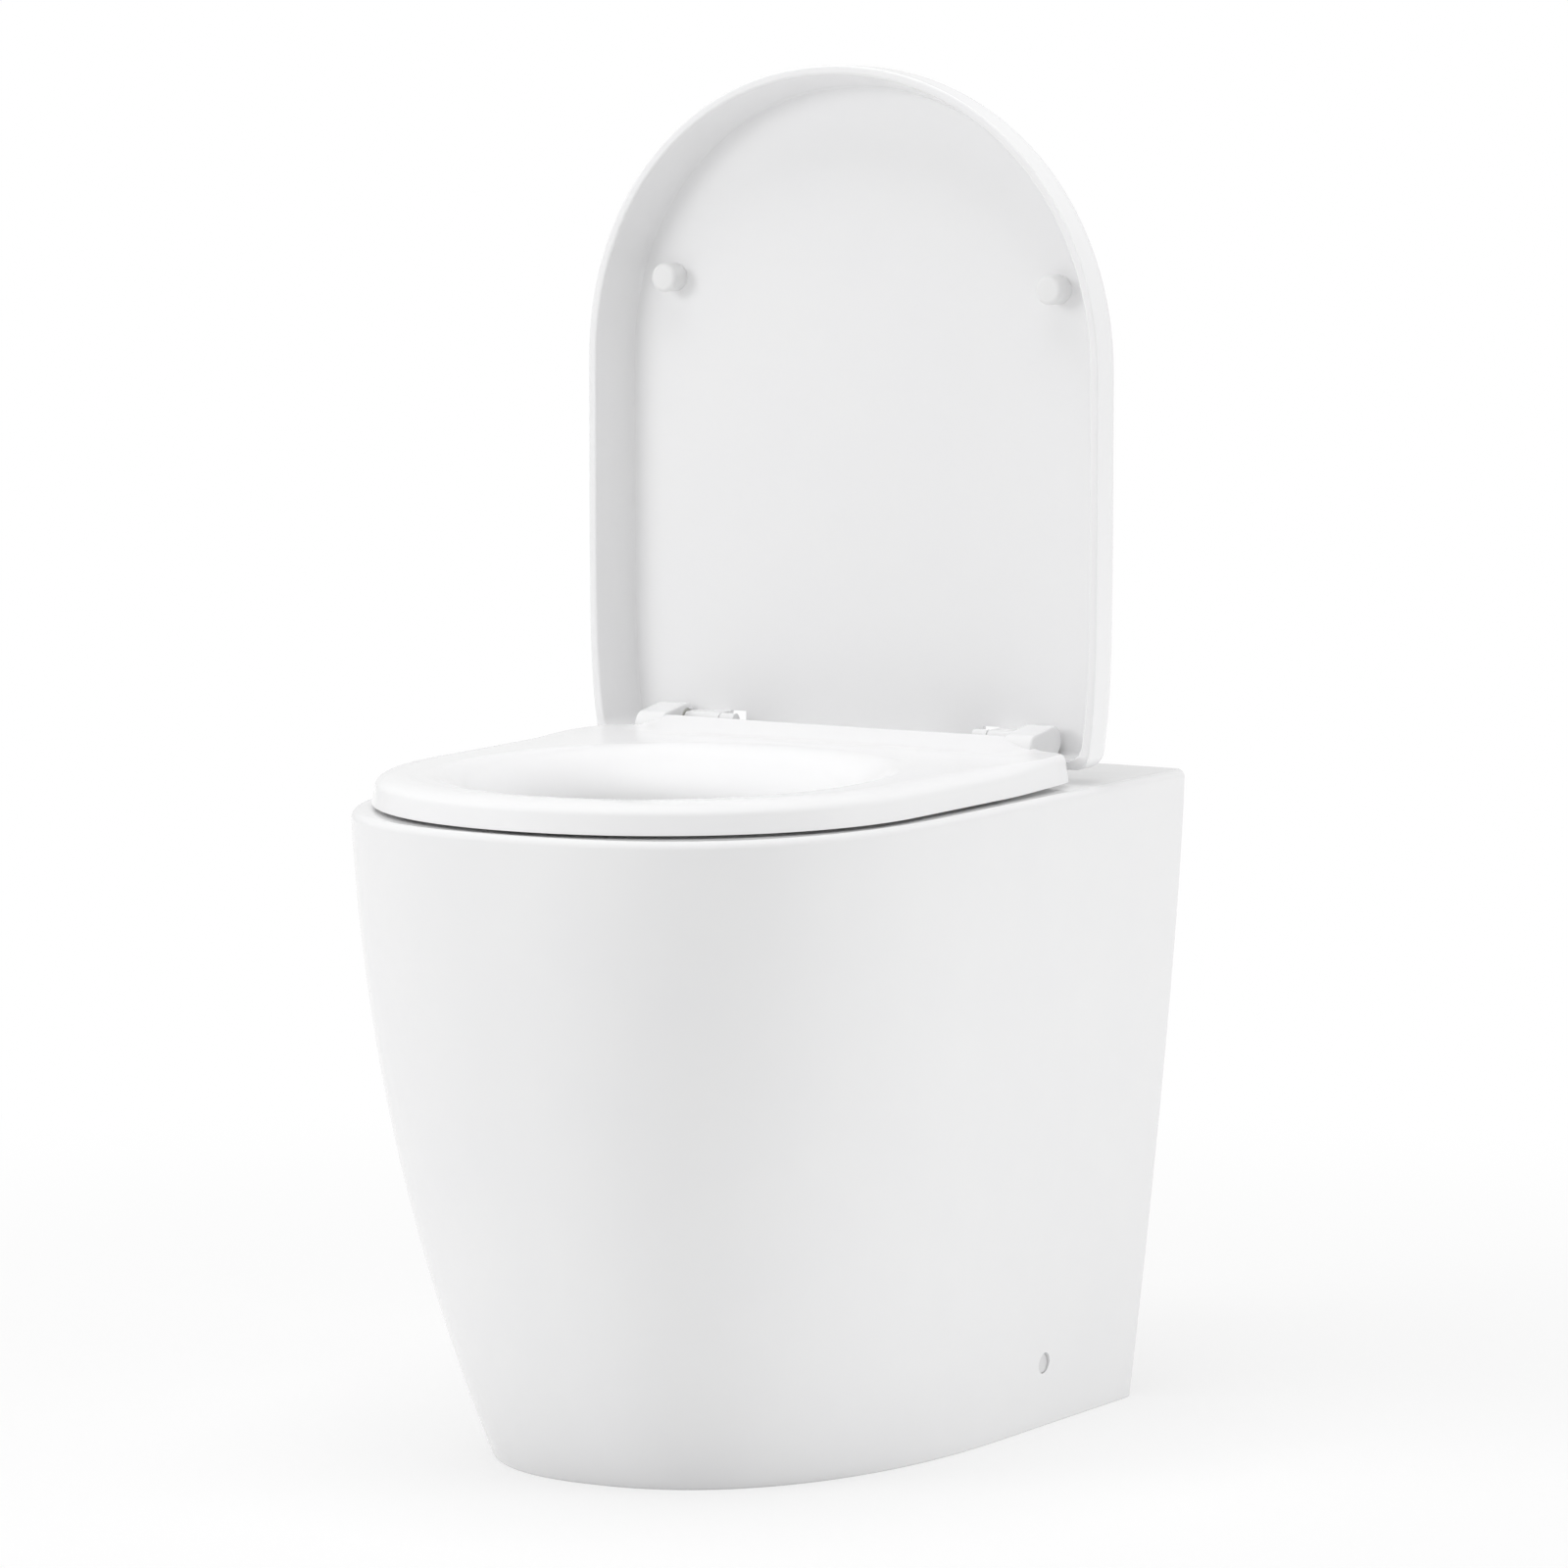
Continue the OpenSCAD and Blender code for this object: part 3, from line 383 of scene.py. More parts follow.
# %% Outlines
def d_outline(half, front, back, nose, square, ease, corner, steps):
    """D outlines with their straight end at the wall, one row for each set of sizes.

    The right half is a quarter superellipse for the nose, a side that draws in by `ease` times
    the share of its length raised to EASE_POWER, a quarter circle for the rear corner and a
    straight rear edge. The left half is its mirror image.
    """
    sizes = np.broadcast_arrays(*np.atleast_1d(half, front, back, nose, square, ease, corner))
    half, front, back, nose, square, ease, corner = (v[:, None].astype(float) for v in sizes)
    on_nose, on_side, on_corner, on_rear = steps
    across, ahead = superellipse(quarter(on_nose)[None], square)
    share = np.linspace(0, 1, on_side + 1)[None, 1:]
    bend = quarter(on_corner, 1)[None]
    rear = np.linspace(0, 1, on_rear + 1)[None, 1:]
    x = np.hstack([
        half * across,
        half - ease * share ** EASE_POWER,
        half - ease - corner + corner * np.cos(bend),
        (half - ease - corner) * (1 - rear),
    ])
    y = np.hstack([
        WALL_Y - front + nose * (1 - ahead),
        WALL_Y - mixed(front - nose, back + corner, share),
        WALL_Y - back - corner + corner * np.sin(bend),
        WALL_Y - back + 0 * rear,
    ])
    return np.hstack([x, -x[:, -2:0:-1]]), np.hstack([y, y[:, -2:0:-1]])


def oval(half_x, half_y, distance, square, points):
    """Superellipses round a middle at `distance` from the wall, one row for each set of sizes."""
    angle = np.linspace(0, 2 * np.pi, points, endpoint=False)[None]
    up, across = superellipse(angle, square)
    half_x, half_y, distance = (np.asarray(v, float)[:, None] for v in (half_x, half_y, distance))
    return half_x * across, WALL_Y - distance + half_y * up


def stacked(x, y, z):
    """Rows of points from rows of x and y and one height, or one row of heights, for each."""
    z = np.asarray(z, float)
    z = z[:, None] if z.ndim == 1 else z
    return np.stack(np.broadcast_arrays(x, y, z), axis=-1)


# %% Meshes
def skin(name, rows, ring=False, slot=0):
    """A closed mesh over rows of points in mm, with its faces in the given material slot.

    Each point is joined to the next in its row and to the same point of the next row. The ends
    are closed by one face each, or the last row is joined to the first when `ring` is set.
    """
    count, around = rows.shape[:2]
    row = np.arange(count if ring else count - 1)[:, None]
    here = np.arange(around)[None]
    after = (here + 1) % around
    above = (row + 1) % count
    quads = np.stack([row * around + here, row * around + after,
                      above * around + after, above * around + here], axis=-1).reshape(-1, 4)
    faces = quads.tolist()
    if not ring:
        faces.append(list(range(around))[::-1])
        faces.append(list(range((count - 1) * around, count * around)))
    mesh = bpy.data.meshes.new(name)
    mesh.from_pydata((rows.reshape(-1, 3) * MM).tolist(), [], faces)
    mesh.polygons.foreach_set("material_index", np.full(len(faces), slot, dtype=np.int32))
    mesh.update()
    thing = bpy.data.objects.new(name, mesh)
    bpy.context.scene.collection.objects.link(thing)
    return thing


def bar(name, radius, start, end, axis, points=64, slot=0):
    """A round bar from the point start to the point end, along the axis X, Y or Z.

    Each end is a circle: the cosine along the first cross direction, the sine along the second.
    """
    start, end = np.array(start, float), np.array(end, float)
    one, two = {"X": (1, 2), "Y": (2, 0), "Z": (0, 1)}[axis]
    angle = np.linspace(0, 2 * np.pi, points, endpoint=False)
    rows = []
    for centre in (start, end):
        row = np.tile(centre, (points, 1))
        row[:, one] += radius * np.cos(angle)
        row[:, two] += radius * np.sin(angle)
        rows.append(row)
    return skin(name, np.array(rows), slot=slot)


# Points round a wide bore, a hole and the narrow hole of a stem
WIDE_POINTS, HOLE_POINTS, STEM_POINTS = 72, 48, 32


def block(name, low, high):
    """A box between two corners."""
    x0, y0, z0 = low
    x1, y1, z1 = high
    x, y = np.array([[x0, x1, x1, x0], [y0, y0, y1, y1]], float)
    return skin(name, stacked(x[None], y[None], [z0, z1]))


# %% Joining and cutting
def settle(piece):
    """Replaces the piece's mesh by what its modifiers make of it."""
    bpy.context.view_layer.update()
    graph = bpy.context.evaluated_depsgraph_get()
    made = bpy.data.meshes.new_from_object(piece.evaluated_get(graph), depsgraph=graph)
    old = piece.data
    piece.modifiers.clear()
    piece.data = made
    made.name = piece.name
    bpy.data.meshes.remove(old)


def carve(piece, tool, how="DIFFERENCE"):
    """Cuts the tool from the piece, or joins it on with how="UNION", and removes the tool."""
    change = piece.modifiers.new("carve", "BOOLEAN")
    change.operation = how
    change.solver = "EXACT"
    change.material_mode = "INDEX"
    change.object = tool
    settle(piece)
    mesh = tool.data
    bpy.data.objects.remove(tool)
    bpy.data.meshes.remove(mesh)


def mirrored(piece, name):
    """A copy of the piece on the other side of x = 0, with its faces turned outwards again."""
    mesh = piece.data.copy()
    mesh.name = name
    mesh.transform(Matrix.Diagonal((-1, 1, 1, 1)))
    mesh.flip_normals()
    copy = bpy.data.objects.new(name, mesh)
    bpy.context.scene.collection.objects.link(copy)
    return copy


def on_both_sides(piece):
    """The piece and its mirror image joined in one mesh, for parts that don't touch x = 0."""
    carve(piece, mirrored(piece, piece.name + "_other"), "UNION")


def shade(piece, crease=35.0):
    """Smooth shading, broken along edges that turn by more than `crease` degrees."""
    piece.data.polygons.foreach_set("use_smooth", np.ones(len(piece.data.polygons), dtype=bool))
    piece.data.set_sharp_from_angle(angle=math.radians(crease))
    piece.modifiers.new("even_normals", "WEIGHTED_NORMAL").keep_sharp = True


def paint(piece, *materials):
    """Puts the materials in the piece's slots."""
    piece.data.materials.clear()
    for material in materials:
        piece.data.materials.append(material)


def measured(piece):
    """Prints the size of a piece, its triangles and whether it is closed."""
    mesh = piece.data
    points = np.empty(len(mesh.vertices) * 3)
    mesh.vertices.foreach_get("co", points)
    points = points.reshape(-1, 3) / MM
    mesh.calc_loop_triangles()
    edges = np.empty(len(mesh.loops), dtype=np.int32)
    mesh.loops.foreach_get("edge_index", edges)
    uses = np.bincount(edges, minlength=len(mesh.edges))
    print(f"{piece.name}: {np.round(np.ptp(points, axis=0), 1)} mm, "
          f"{len(mesh.loop_triangles)} triangles, {int((uses != 2).sum())} open edges")


# %% [markdown]
# ## The pan
#
# Seen from above the pan is a D: straight at the wall, rounded at the front. It narrows towards
# the floor, slowly at first and faster lower down, so its outline is worked out once for every
# height. The foot is a thin shell, and the bowl hangs in it like a funnel.
#
# Solid modelling suits this better than one clever surface: an outer body less a hollow, joined
# to the bowl's outside and to the trapway, less the bowl's inside and the holes. Each of those
# is a plain grid, and the Boolean modifier finds the lines where they meet.

# %% Outside and hollow of the pan
PAN_STEPS = (56, 14, 4, 6)
FOOT_EDGE, WALL_ROWS, HOLLOW_ROWS = 1.6, 49, 30


def tapered(top, bottom, power, z):
    """A size that is `top` at the rim and `bottom` on the floor, by a power of the way down."""
    return mixed(top, bottom, np.clip(1 - z / (PAN_H - RIM_R), 0, 1) ** power)


def pan_rows(z, inset, back):
    """Outlines of the pan at the heights z, moved in by inset, with their rear at back."""
    z, inset = np.broadcast_arrays(np.asarray(z, float), np.asarray(inset, float))
    x, y = d_outline(
        tapered(PAN_W / 2, FOOT_W / 2, SIDE_POWER, z) - inset,
        tapered(PAN_L, FOOT_L, FRONT_POWER, z) - inset,
        np.full_like(z, back),
        tapered(RIM_NOSE, FOOT_NOSE, 1, z) - inset,
        tapered(RIM_SQUARE, FOOT_SQUARE, 1, z),
        np.zeros_like(z), np.full_like(z, WALL_CORNER), PAN_STEPS)
    return stacked(x, y, z)


# The foot's edge and the rim's edge are quarter circles, and the wall runs between them.
edge = quarter(8)
foot = quarter(4)
wall_z = np.linspace(FOOT_EDGE, PAN_H - RIM_R, WALL_ROWS)[1:-1]
outside_z = np.concatenate([FOOT_EDGE * (1 - np.cos(foot)), wall_z,
                            PAN_H - RIM_R * (1 - np.sin(edge))])
outside_in = np.concatenate([FOOT_EDGE * (1 - np.sin(foot)), 0 * wall_z,
                             RIM_R * (1 - np.cos(edge))])
hollow_z = np.linspace(-CUT, PAN_H - DECK_T, HOLLOW_ROWS)
pan = skin("pan_china", pan_rows(outside_z, outside_in, 0.0))
hollow = skin("hollow", pan_rows(hollow_z, CHINA, -2 * CUT), slot=1)
for thing in (pan, hollow):
    paint(thing, china, clay)
carve(pan, hollow)
measured(pan)

# %% Bowl
BOWL_POINTS, BOWL_ROWS = 128, 36


def bowl_rows(share, grow, z):
    """Ovals of the bowl from the sump, share 0, to the rim, share 1, wider by grow."""
    share, grow = np.broadcast_arrays(np.asarray(share, float), np.asarray(grow, float))
    x, y = oval(mixed(SUMP_R, BOWL_A, smooth(share)) + grow,
                mixed(SUMP_R, BOWL_B, smooth(share)) + grow,
                mixed(SUMP_D, BOWL_D, share), BOWL_SQUARE, BOWL_POINTS)
    return stacked(x, y, z)


share = np.linspace(0, 1, BOWL_ROWS)
low = SUMP_Z - CHINA
bowl_outside = skin("bowl_outside", bowl_rows(
    np.concatenate([[0], share]), np.concatenate([[0], 0 * share + CHINA]),
    np.concatenate([[low], mixed(low + CHINA / 2, PAN_H - DECK_T / 2, share)])), slot=1)

# The sump's floor rounds up into its wall, and the wall turns over into the rim.
dish = quarter(6)[:-1]
lip = quarter(8, 1)
sump_rise = SUMP_R / 5
inside_share = np.concatenate([0 * dish, share, 0 * lip + 1, [1]])
inside_grow = np.concatenate([-SUMP_R / 2 * (1 - np.sin(dish)), 0 * share,
                              LIP_R * (1 - np.cos(lip)), [LIP_R]])
inside_z = np.concatenate([SUMP_Z + sump_rise * (1 - np.cos(dish)),
                           mixed(SUMP_Z + sump_rise, PAN_H - LIP_R, share),
                           PAN_H - LIP_R * (1 - np.sin(lip)), [PAN_H + CUT]])
bowl_inside = skin("bowl_inside", bowl_rows(inside_share, inside_grow, inside_z))
print("bowl", 2 * BOWL_A, "x", 2 * BOWL_B, "mm at the rim")

# %% [markdown]
# The trapway is the bent pipe that keeps water standing in the bowl. Its middle line is three
# Bezier curves: out of the sump and up, over the weir, and down to the outlet. A circle is
# carried along that line and kept square to it, while it widens towards the outlet.

# %% Trapway
TRAP_STEPS, TRAP_POINTS = 14, 48
# Points are pairs of distance from the wall and height. The line passes through START, MID,
# OVER and END, and each bend gives how far off the next control point lies.
CLIMB_BEND, MID_BEND, CREST_BEND, FALL_BEND, END_BEND = (54, 8), (24, 40), (24, 32), (15, 20), 20
START = (SUMP_D + 14, SUMP_Z + TRAP_R + 1)
MID, OVER = (SUMP_D - 86, START[1] + 74), (SUMP_D - 172, OUTLET_Z + 24)
END = (SPIGOT_D + SPIGOT_L - SPIGOT_ROOT, OUTLET_Z)
TRAP_BENDS = (
    (START, (SUMP_D - CLIMB_BEND[0], START[1] - CLIMB_BEND[1]),
     (MID[0] + MID_BEND[0], MID[1] - MID_BEND[1]), MID),
    (MID, (MID[0] - MID_BEND[0], MID[1] + MID_BEND[1]),
     (OVER[0] + CREST_BEND[0], OVER[1] + CREST_BEND[1]), OVER),
    (OVER, (OVER[0] - FALL_BEND[0], OVER[1] - FALL_BEND[1]), (END[0] + END_BEND, END[1]), END),
)


def bezier(points, t):
    """Cubic Bezier: four points, weighted by 1, 3, 3, 1 times powers of 1 - t and of t.

    The powers of 1 - t fall from 3 to 0 from the first point to the last, and those of t rise.
    """
    weights = np.stack([(1 - t) ** 3, 3 * t * (1 - t) ** 2, 3 * t * t * (1 - t), t ** 3])
    return weights.T @ np.array(points, float)


t = np.linspace(0, 1, TRAP_STEPS, endpoint=False)
trap_line = np.concatenate([bezier(bend, t) for bend in TRAP_BENDS] + [[TRAP_BENDS[-1][-1]]])
way = np.gradient(trap_line, axis=0)
way /= np.linalg.norm(way, axis=1)[:, None]
across_way = np.stack([-way[:, 1], way[:, 0]], axis=1)
along = np.linspace(0, 1, len(trap_line))


def trapway(name, grow, slot=0):
    """Circles square to the middle line: the cosine along x, the sine along the line's normal."""
    radius = (mixed(TRAP_R, OUTLET_R, smooth(along)) + grow)[:, None]
    a = np.linspace(0, 2 * np.pi, TRAP_POINTS, endpoint=False)[None]
    x = radius * np.cos(a)
    y = WALL_Y - trap_line[:, :1] - radius * np.sin(a) * across_way[:, :1]
    z = trap_line[:, 1:] + radius * np.sin(a) * across_way[:, 1:]
    return skin(name, np.stack([x, y, z], axis=-1), slot=slot)


def at_back(name, radius, near, far, z):
    """A round bar along Y between two distances from the wall."""
    return bar(name, radius, (0, WALL_Y - far, z), (0, WALL_Y - near, z), "Y", WIDE_POINTS)


for tool in (
    bowl_outside,
    trapway("trap_outside", TRAP_WALL, slot=1),
    at_back("spigot", SPIGOT_R, SPIGOT_D, SPIGOT_D + SPIGOT_L, OUTLET_Z),
    at_back("inlet", INLET_R, INLET_D, BOWL_D - BOWL_B, INLET_Z),
):
    carve(pan, tool, "UNION")
measured(pan)

# %% Bowl's inside, waterways and holes
def side_bar(name, radius, x0, x1):
    """A round bar along X through the side hole near the foot."""
    return bar(name, radius, (x0, WALL_Y - SIDE_D, SIDE_Z), (x1, WALL_Y - SIDE_D, SIDE_Z), "X")


# The inlet's bore runs on past the bowl's edge, so that the flush water gets into the bowl.
FLUSH_IN = 4 * CHINA
tools = [
    bowl_inside,
    trapway("trap_inside", 0.0),
    at_back("outlet_bore", OUTLET_R, SPIGOT_D - CUT, SPIGOT_D + SPIGOT_L, OUTLET_Z),
    at_back("inlet_bore", INLET_BORE, INLET_D - CUT, BOWL_D - BOWL_B + FLUSH_IN, INLET_Z),
]
for side in (-1, 1):
    low_x, high_x = sorted((side * (FOOT_W / 2 - 2 * CHINA), side * PAN_W / 2))
    tools.append(bar("deck_hole", HOLE_R, (side * HOLE_X, HINGE_Y, PAN_H - DECK_T - CUT),
                     (side * HOLE_X, HINGE_Y, PAN_H + CUT), "Z", HOLE_POINTS))
    tools.append(side_bar("side_hole", SIDE_HOLE_R, low_x, high_x))
for tool in tools:
    carve(pan, tool)
shade(pan)
measured(pan)
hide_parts("pan")
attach(pan, "pan")

# %% [markdown]
# ## Caps in the side holes
#
# The pan is held down by two screws that go in sideways near the foot. A small cap closes each
# hole. It is a turned shape: a profile of radius and height, carried round an axis. Its rim is
# rounded, so it catches a thin line of light.

# %% Turned shapes
def turned(name, radius, height, centre, axis, points=64):
    """Surface of revolution: the circle of each radius, at each height along the axis."""
    radius, height = np.asarray(radius, float)[:, None], np.asarray(height, float)[:, None]
    angle = np.linspace(0, 2 * np.pi, points, endpoint=False)[None]
    one, two, along_axis = {"X": (1, 2, 0), "Z": (0, 1, 2)}[axis]
    rows = np.zeros((len(radius), points, 3))
    rows[..., one] = radius * np.cos(angle)
    rows[..., two] = radius * np.sin(angle)
    rows[..., along_axis] = height
    return skin(name, rows + np.array(centre, float))


# %% Caps
CAP_EDGE, BUTTON_FLAT = 0.6, 1.5
side_face = float(tapered(PAN_W / 2, FOOT_W / 2, SIDE_POWER, SIDE_Z))
cap_r = SIDE_HOLE_R - SEAT_FIT
bend = quarter(6)
cap_out = side_face - CAP_SUNK
cap_radius = np.concatenate([[cap_r], cap_r - CAP_EDGE * (1 - np.cos(bend)), [BUTTON_FLAT]])
cap_height = np.concatenate([[cap_out - CAP_T], cap_out - CAP_EDGE * (1 - np.sin(bend)), [cap_out]])
caps = turned("side_hole_caps", cap_radius, cap_height, (0, WALL_Y - SIDE_D, SIDE_Z), "X")
on_both_sides(caps)
paint(caps, cap_plastic)
shade(caps)
measured(caps)
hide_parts("side_caps")
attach(caps, "pan")

# %% [markdown]
# ## The seat ring
#
# The ring is a band: a cross-section carried round the D outline. At each point of the outline
# the section reaches inwards to the egg-shaped opening. Real rings are crowned, so along the
# sides and the front the outer side turns over a long quarter ellipse into the top. Its lower
# rim reaches a millimetre further down there, which keeps the dark gap above the pan thin.

# %% Outline and opening
SEAT_STEPS = (64, 28, 8, 24)
outline_x, outline_y = d_outline(SEAT_HALF, SEAT_FRONT, SEAT_BACK_D, SEAT_NOSE, SEAT_SQUARE,
                                 SIDE_EASE, BACK_CORNER, SEAT_STEPS)
outer = np.stack([outline_x[0], outline_y[0]], axis=-1)


def opening_points(points):
    """Point of the opening's superellipse in the direction of each outline point."""
    ray = points - np.array([0, WALL_Y - OPENING_D])
    ray /= np.linalg.norm(ray, axis=1)[:, None]
    reach = ((np.abs(ray[:, 0]) / OPENING_A) ** OPENING_SQUARE
             + (np.abs(ray[:, 1]) / OPENING_B) ** OPENING_SQUARE) ** (-1 / OPENING_SQUARE)
    return np.array([0, WALL_Y - OPENING_D]) + ray * reach[:, None]


inner = opening_points(outer)
# The slope reaches further in at the rear, by REAR_REACH times the square of how far back it is.
rear = np.clip((inner[:, 1:] - WALL_Y + OPENING_D) / OPENING_B, 0, 1) ** 2
inner -= REAR_REACH * rear * np.array([0, 1])
inwards = (inner - outer) / np.linalg.norm(inner - outer, axis=1)[:, None]
print("opening", 2 * OPENING_A, "x", round(2 * OPENING_B - REAR_REACH, 1), "mm at its lower edge")

# %% Outer side of the section
UNDER_EDGE = 0.6
under = quarter(4)
turn_in = quarter(10)
# 0 at the back, as far as EDGE_FROM from the wall, and 1 from EDGE_RUN further on
ahead = smooth(np.clip((WALL_Y - outer[:, 1:] - EDGE_FROM) / EDGE_RUN, 0, 1))
edge_across = mixed(SEAT_EDGE, EDGE_ACROSS, ahead)
edge_down = mixed(SEAT_EDGE, EDGE_DOWN, ahead)
rim_z = SEAT_Z - mixed(REAR_RIM_DROP, SEAT_RIM_DROP, ahead)
# Distance in and height: down the back of the lower rim, round its edge and up to the top
outer_in = np.hstack([
    0 * ahead + SEAT_RIM_T,
    0 * ahead + SEAT_RIM_T,
    0 * ahead + UNDER_EDGE * (1 - np.sin(under)),
    SEAT_DRAFT + edge_across * (1 - np.cos(turn_in)),
])
outer_z = np.hstack([
    0 * ahead + SEAT_Z,
    rim_z,
    rim_z + UNDER_EDGE * (1 - np.cos(under)),
    SEAT_TOP - edge_down * (1 - np.sin(turn_in)),
])

# %% [markdown]
# From a low camera only the far side of the opening can be seen. On the real ring a long, soft
# slope leads down into it, which catches nearly as much light as the top. Here the slope is a
# superellipse quarter, and it ends in a thin skirt that hangs inside the mouth of the bowl.

# %% Inner side of the section
slope_across, slope_down = superellipse(quarter(16), INNER_SQUARE)
# Distance out from the opening and height: down the slope, round the skirt's edge and up again
inner_out = np.hstack([
    (INNER_RUN + REAR_REACH * rear) * (1 - slope_across),
    0 * rear + UNDER_EDGE * (1 - np.cos(under)),
    0 * rear + SKIRT_T - UNDER_EDGE * (1 - np.sin(under)),
    0 * rear + SKIRT_BACK,
])
inner_z = np.concatenate([
    mixed(SKIRT_Z + UNDER_EDGE, SEAT_TOP - SEAT_FALL, slope_down),
    SKIRT_Z + UNDER_EDGE * (1 - np.sin(under)),
    SKIRT_Z + UNDER_EDGE * (1 - np.cos(under)),
    [SEAT_Z],
])

# %% [markdown]
# The two sides are joined by a nearly level top in even steps. Last, the top rises to a low lip
# along the straight rear edge, in front of the hinge posts, so that they show as little as they
# do on a real seat.

# %% Ring
TOP_STEPS = 9
from_out = outer + inwards * outer_in[:, -1:]
from_in = inner - inwards * inner_out[:, :1]
top_share = np.linspace(0, 1, TOP_STEPS + 1)[1:-1]
section = np.concatenate([
    outer[:, None] + inwards[:, None] * outer_in[..., None],
    mixed(from_out[:, None], from_in[:, None], top_share[None, :, None]),
    inner[:, None] - inwards[:, None] * inner_out[..., None],
], axis=1)
section_z = np.hstack([
    outer_z,
    0 * ahead + mixed(SEAT_TOP, inner_z[0], top_share),
    0 * ahead + inner_z,
])
# The lip is gone after LIP_RUN forwards and at LIP_HALF sideways. It lifts the top by all of
# its rise and the underside not at all.
behind = np.clip(1 - (WALL_Y - SEAT_BACK_D - section[..., 1]) / LIP_RUN, 0, 1)
beside = np.clip((LIP_HALF - np.abs(section[..., 0])) / LIP_EASE, 0, 1)
above = np.clip((section_z - SEAT_Z) / SEAT_T, 0, 1)
section_z += LIP_RISE * smooth(behind) * smooth(beside) * above
ring_rows = np.concatenate([section, section_z[..., None]], axis=-1)
seat = skin("seat_ring_moulding", ring_rows[:, ::-1], ring=True)
measured(seat)

# %% [markdown]
# Two lugs stand on the back of the ring and hold the hinge pins. Seen from the side a lug has a
# round nose, a gentle slope and a round boss about the hinge axis. That side view is carried
# across the lug's width, and drawn in at both faces by a quarter circle, so its edges are soft.

# %% Lugs
LUG_EDGE, NOSE_UNDER = 1.4, 0.75
BOSS_STEPS, NOSE_STEPS = 25, 15


def lug_side_view(inset):
    """Closed side view of a lug about the hinge axis, all of it moved in by inset.

    Two circles, the nose and the boss, and the straight line that touches both from above. The
    line touches them where the cosine of its angle to the line of centres is the difference of
    the radii over the distance. The nose ends NOSE_UNDER radians below level, and all of it is
    cut off level with the boss.
    """
    distance = math.hypot(LUG_NOSE_Y, LUG_NOSE_Z)
    rise = math.atan2(-LUG_NOSE_Z, -LUG_NOSE_Y)
    touch = rise + math.acos((LUG_NOSE_R - LUG_R) / distance)
    over = np.linspace(-np.pi / 2, touch, BOSS_STEPS)
    nose = np.linspace(touch, np.pi + NOSE_UNDER, NOSE_STEPS)
    boss_r, nose_r = LUG_R - inset, LUG_NOSE_R - inset
    y = np.concatenate([boss_r * np.cos(over), LUG_NOSE_Y + nose_r * np.cos(nose)])
    z = np.concatenate([boss_r * np.sin(over), LUG_NOSE_Z + nose_r * np.sin(nose)])
    return HINGE_Y + y, HINGE_Z + np.maximum(z, -(LUG_R - inset))


soft = quarter(5)
lug_inset = np.concatenate([LUG_EDGE * (1 - np.sin(soft)), LUG_EDGE * (1 - np.cos(soft))])
lug_across = np.concatenate([LUG_X - LUG_W + LUG_EDGE * (1 - np.cos(soft)),
                             LUG_X - LUG_EDGE * (1 - np.sin(soft))])
lug_rows = np.array([
    np.stack(np.broadcast_arrays(x, *lug_side_view(inset)), axis=-1)
    for x, inset in zip(lug_across, lug_inset)
])
lug = skin("lug", lug_rows)
lug_left = mirrored(lug, "lug_left")
for tool in (lug, lug_left):
    carve(seat, tool, "UNION")
for side in (1, -1):
    ends = sorted((side * (LUG_X - LUG_W - CUT), side * (LUG_X - LUG_WALL)))
    carve(seat, bar("damper_bore", DAMPER_R + PIN_FIT, (ends[0], HINGE_Y, HINGE_Z),
                    (ends[1], HINGE_Y, HINGE_Z), "X", HOLE_POINTS))
    for x, distance in PAD_SPOTS:
        spot = (side * x, WALL_Y - distance)
        carve(seat, bar("pad_hole", PAD_STEM_R + PIN_FIT, (*spot, SEAT_Z - CUT),
                        (*spot, SEAT_Z + PAD_STEM_L), "Z", STEM_POINTS))
paint(seat, urea)
shade(seat)
measured(seat)
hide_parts("seat_ring")
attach(seat, "seat")

# %% [markdown]
# Four soft pads under the ring keep it off the china and leave the thin dark line that runs
# between seat and pan. Each is a low button with a rounded foot and a stem pushed into the ring.

# %% Seat pads
PAD_LOW = PAN_H + SEAT_FIT
PAD_EDGE = 0.9
bend = quarter(5)
pad_radius = np.concatenate([[BUTTON_FLAT], PAD_R - PAD_EDGE * (1 - np.sin(bend)),
                             [PAD_R, PAD_STEM_R, PAD_STEM_R]])
pad_height = np.concatenate([[PAD_LOW], PAD_LOW + PAD_EDGE * (1 - np.cos(bend)),
                             [SEAT_Z, SEAT_Z, SEAT_Z + PAD_STEM_L - SEAT_FIT]])
pads, *more_pads = [
    turned("seat_pad_buttons", pad_radius, pad_height, (side * x, WALL_Y - distance, 0), "Z",
           HOLE_POINTS)
    for x, distance in PAD_SPOTS for side in (1, -1)
]
for pad in more_pads:
    carve(pads, pad, "UNION")
paint(pads, elastomer)
shade(pads)
measured(pads)
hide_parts("seat_pads")
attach(pads, "seat")

# %% [markdown]
# ## The lid
#
# The lid is a tray that wraps over the ring. It is drawn shut, with its rim down, and then
# turned back about the hinge axis, because its sizes are easiest to read that way. One grid of
# rows makes the whole tray: round the fillet of its ceiling, down the leaning inner wall, round
# the rim, up the outside and over the big outer radius.

# %% Tray
LID_STEPS = (64, 28, 8, 24)
LEAN_ROWS, SIDE_ROWS = 8, 6
RIM_EDGE = 1.3
lean = LID_DRAFT / (LID_CEILING - LID_Z)


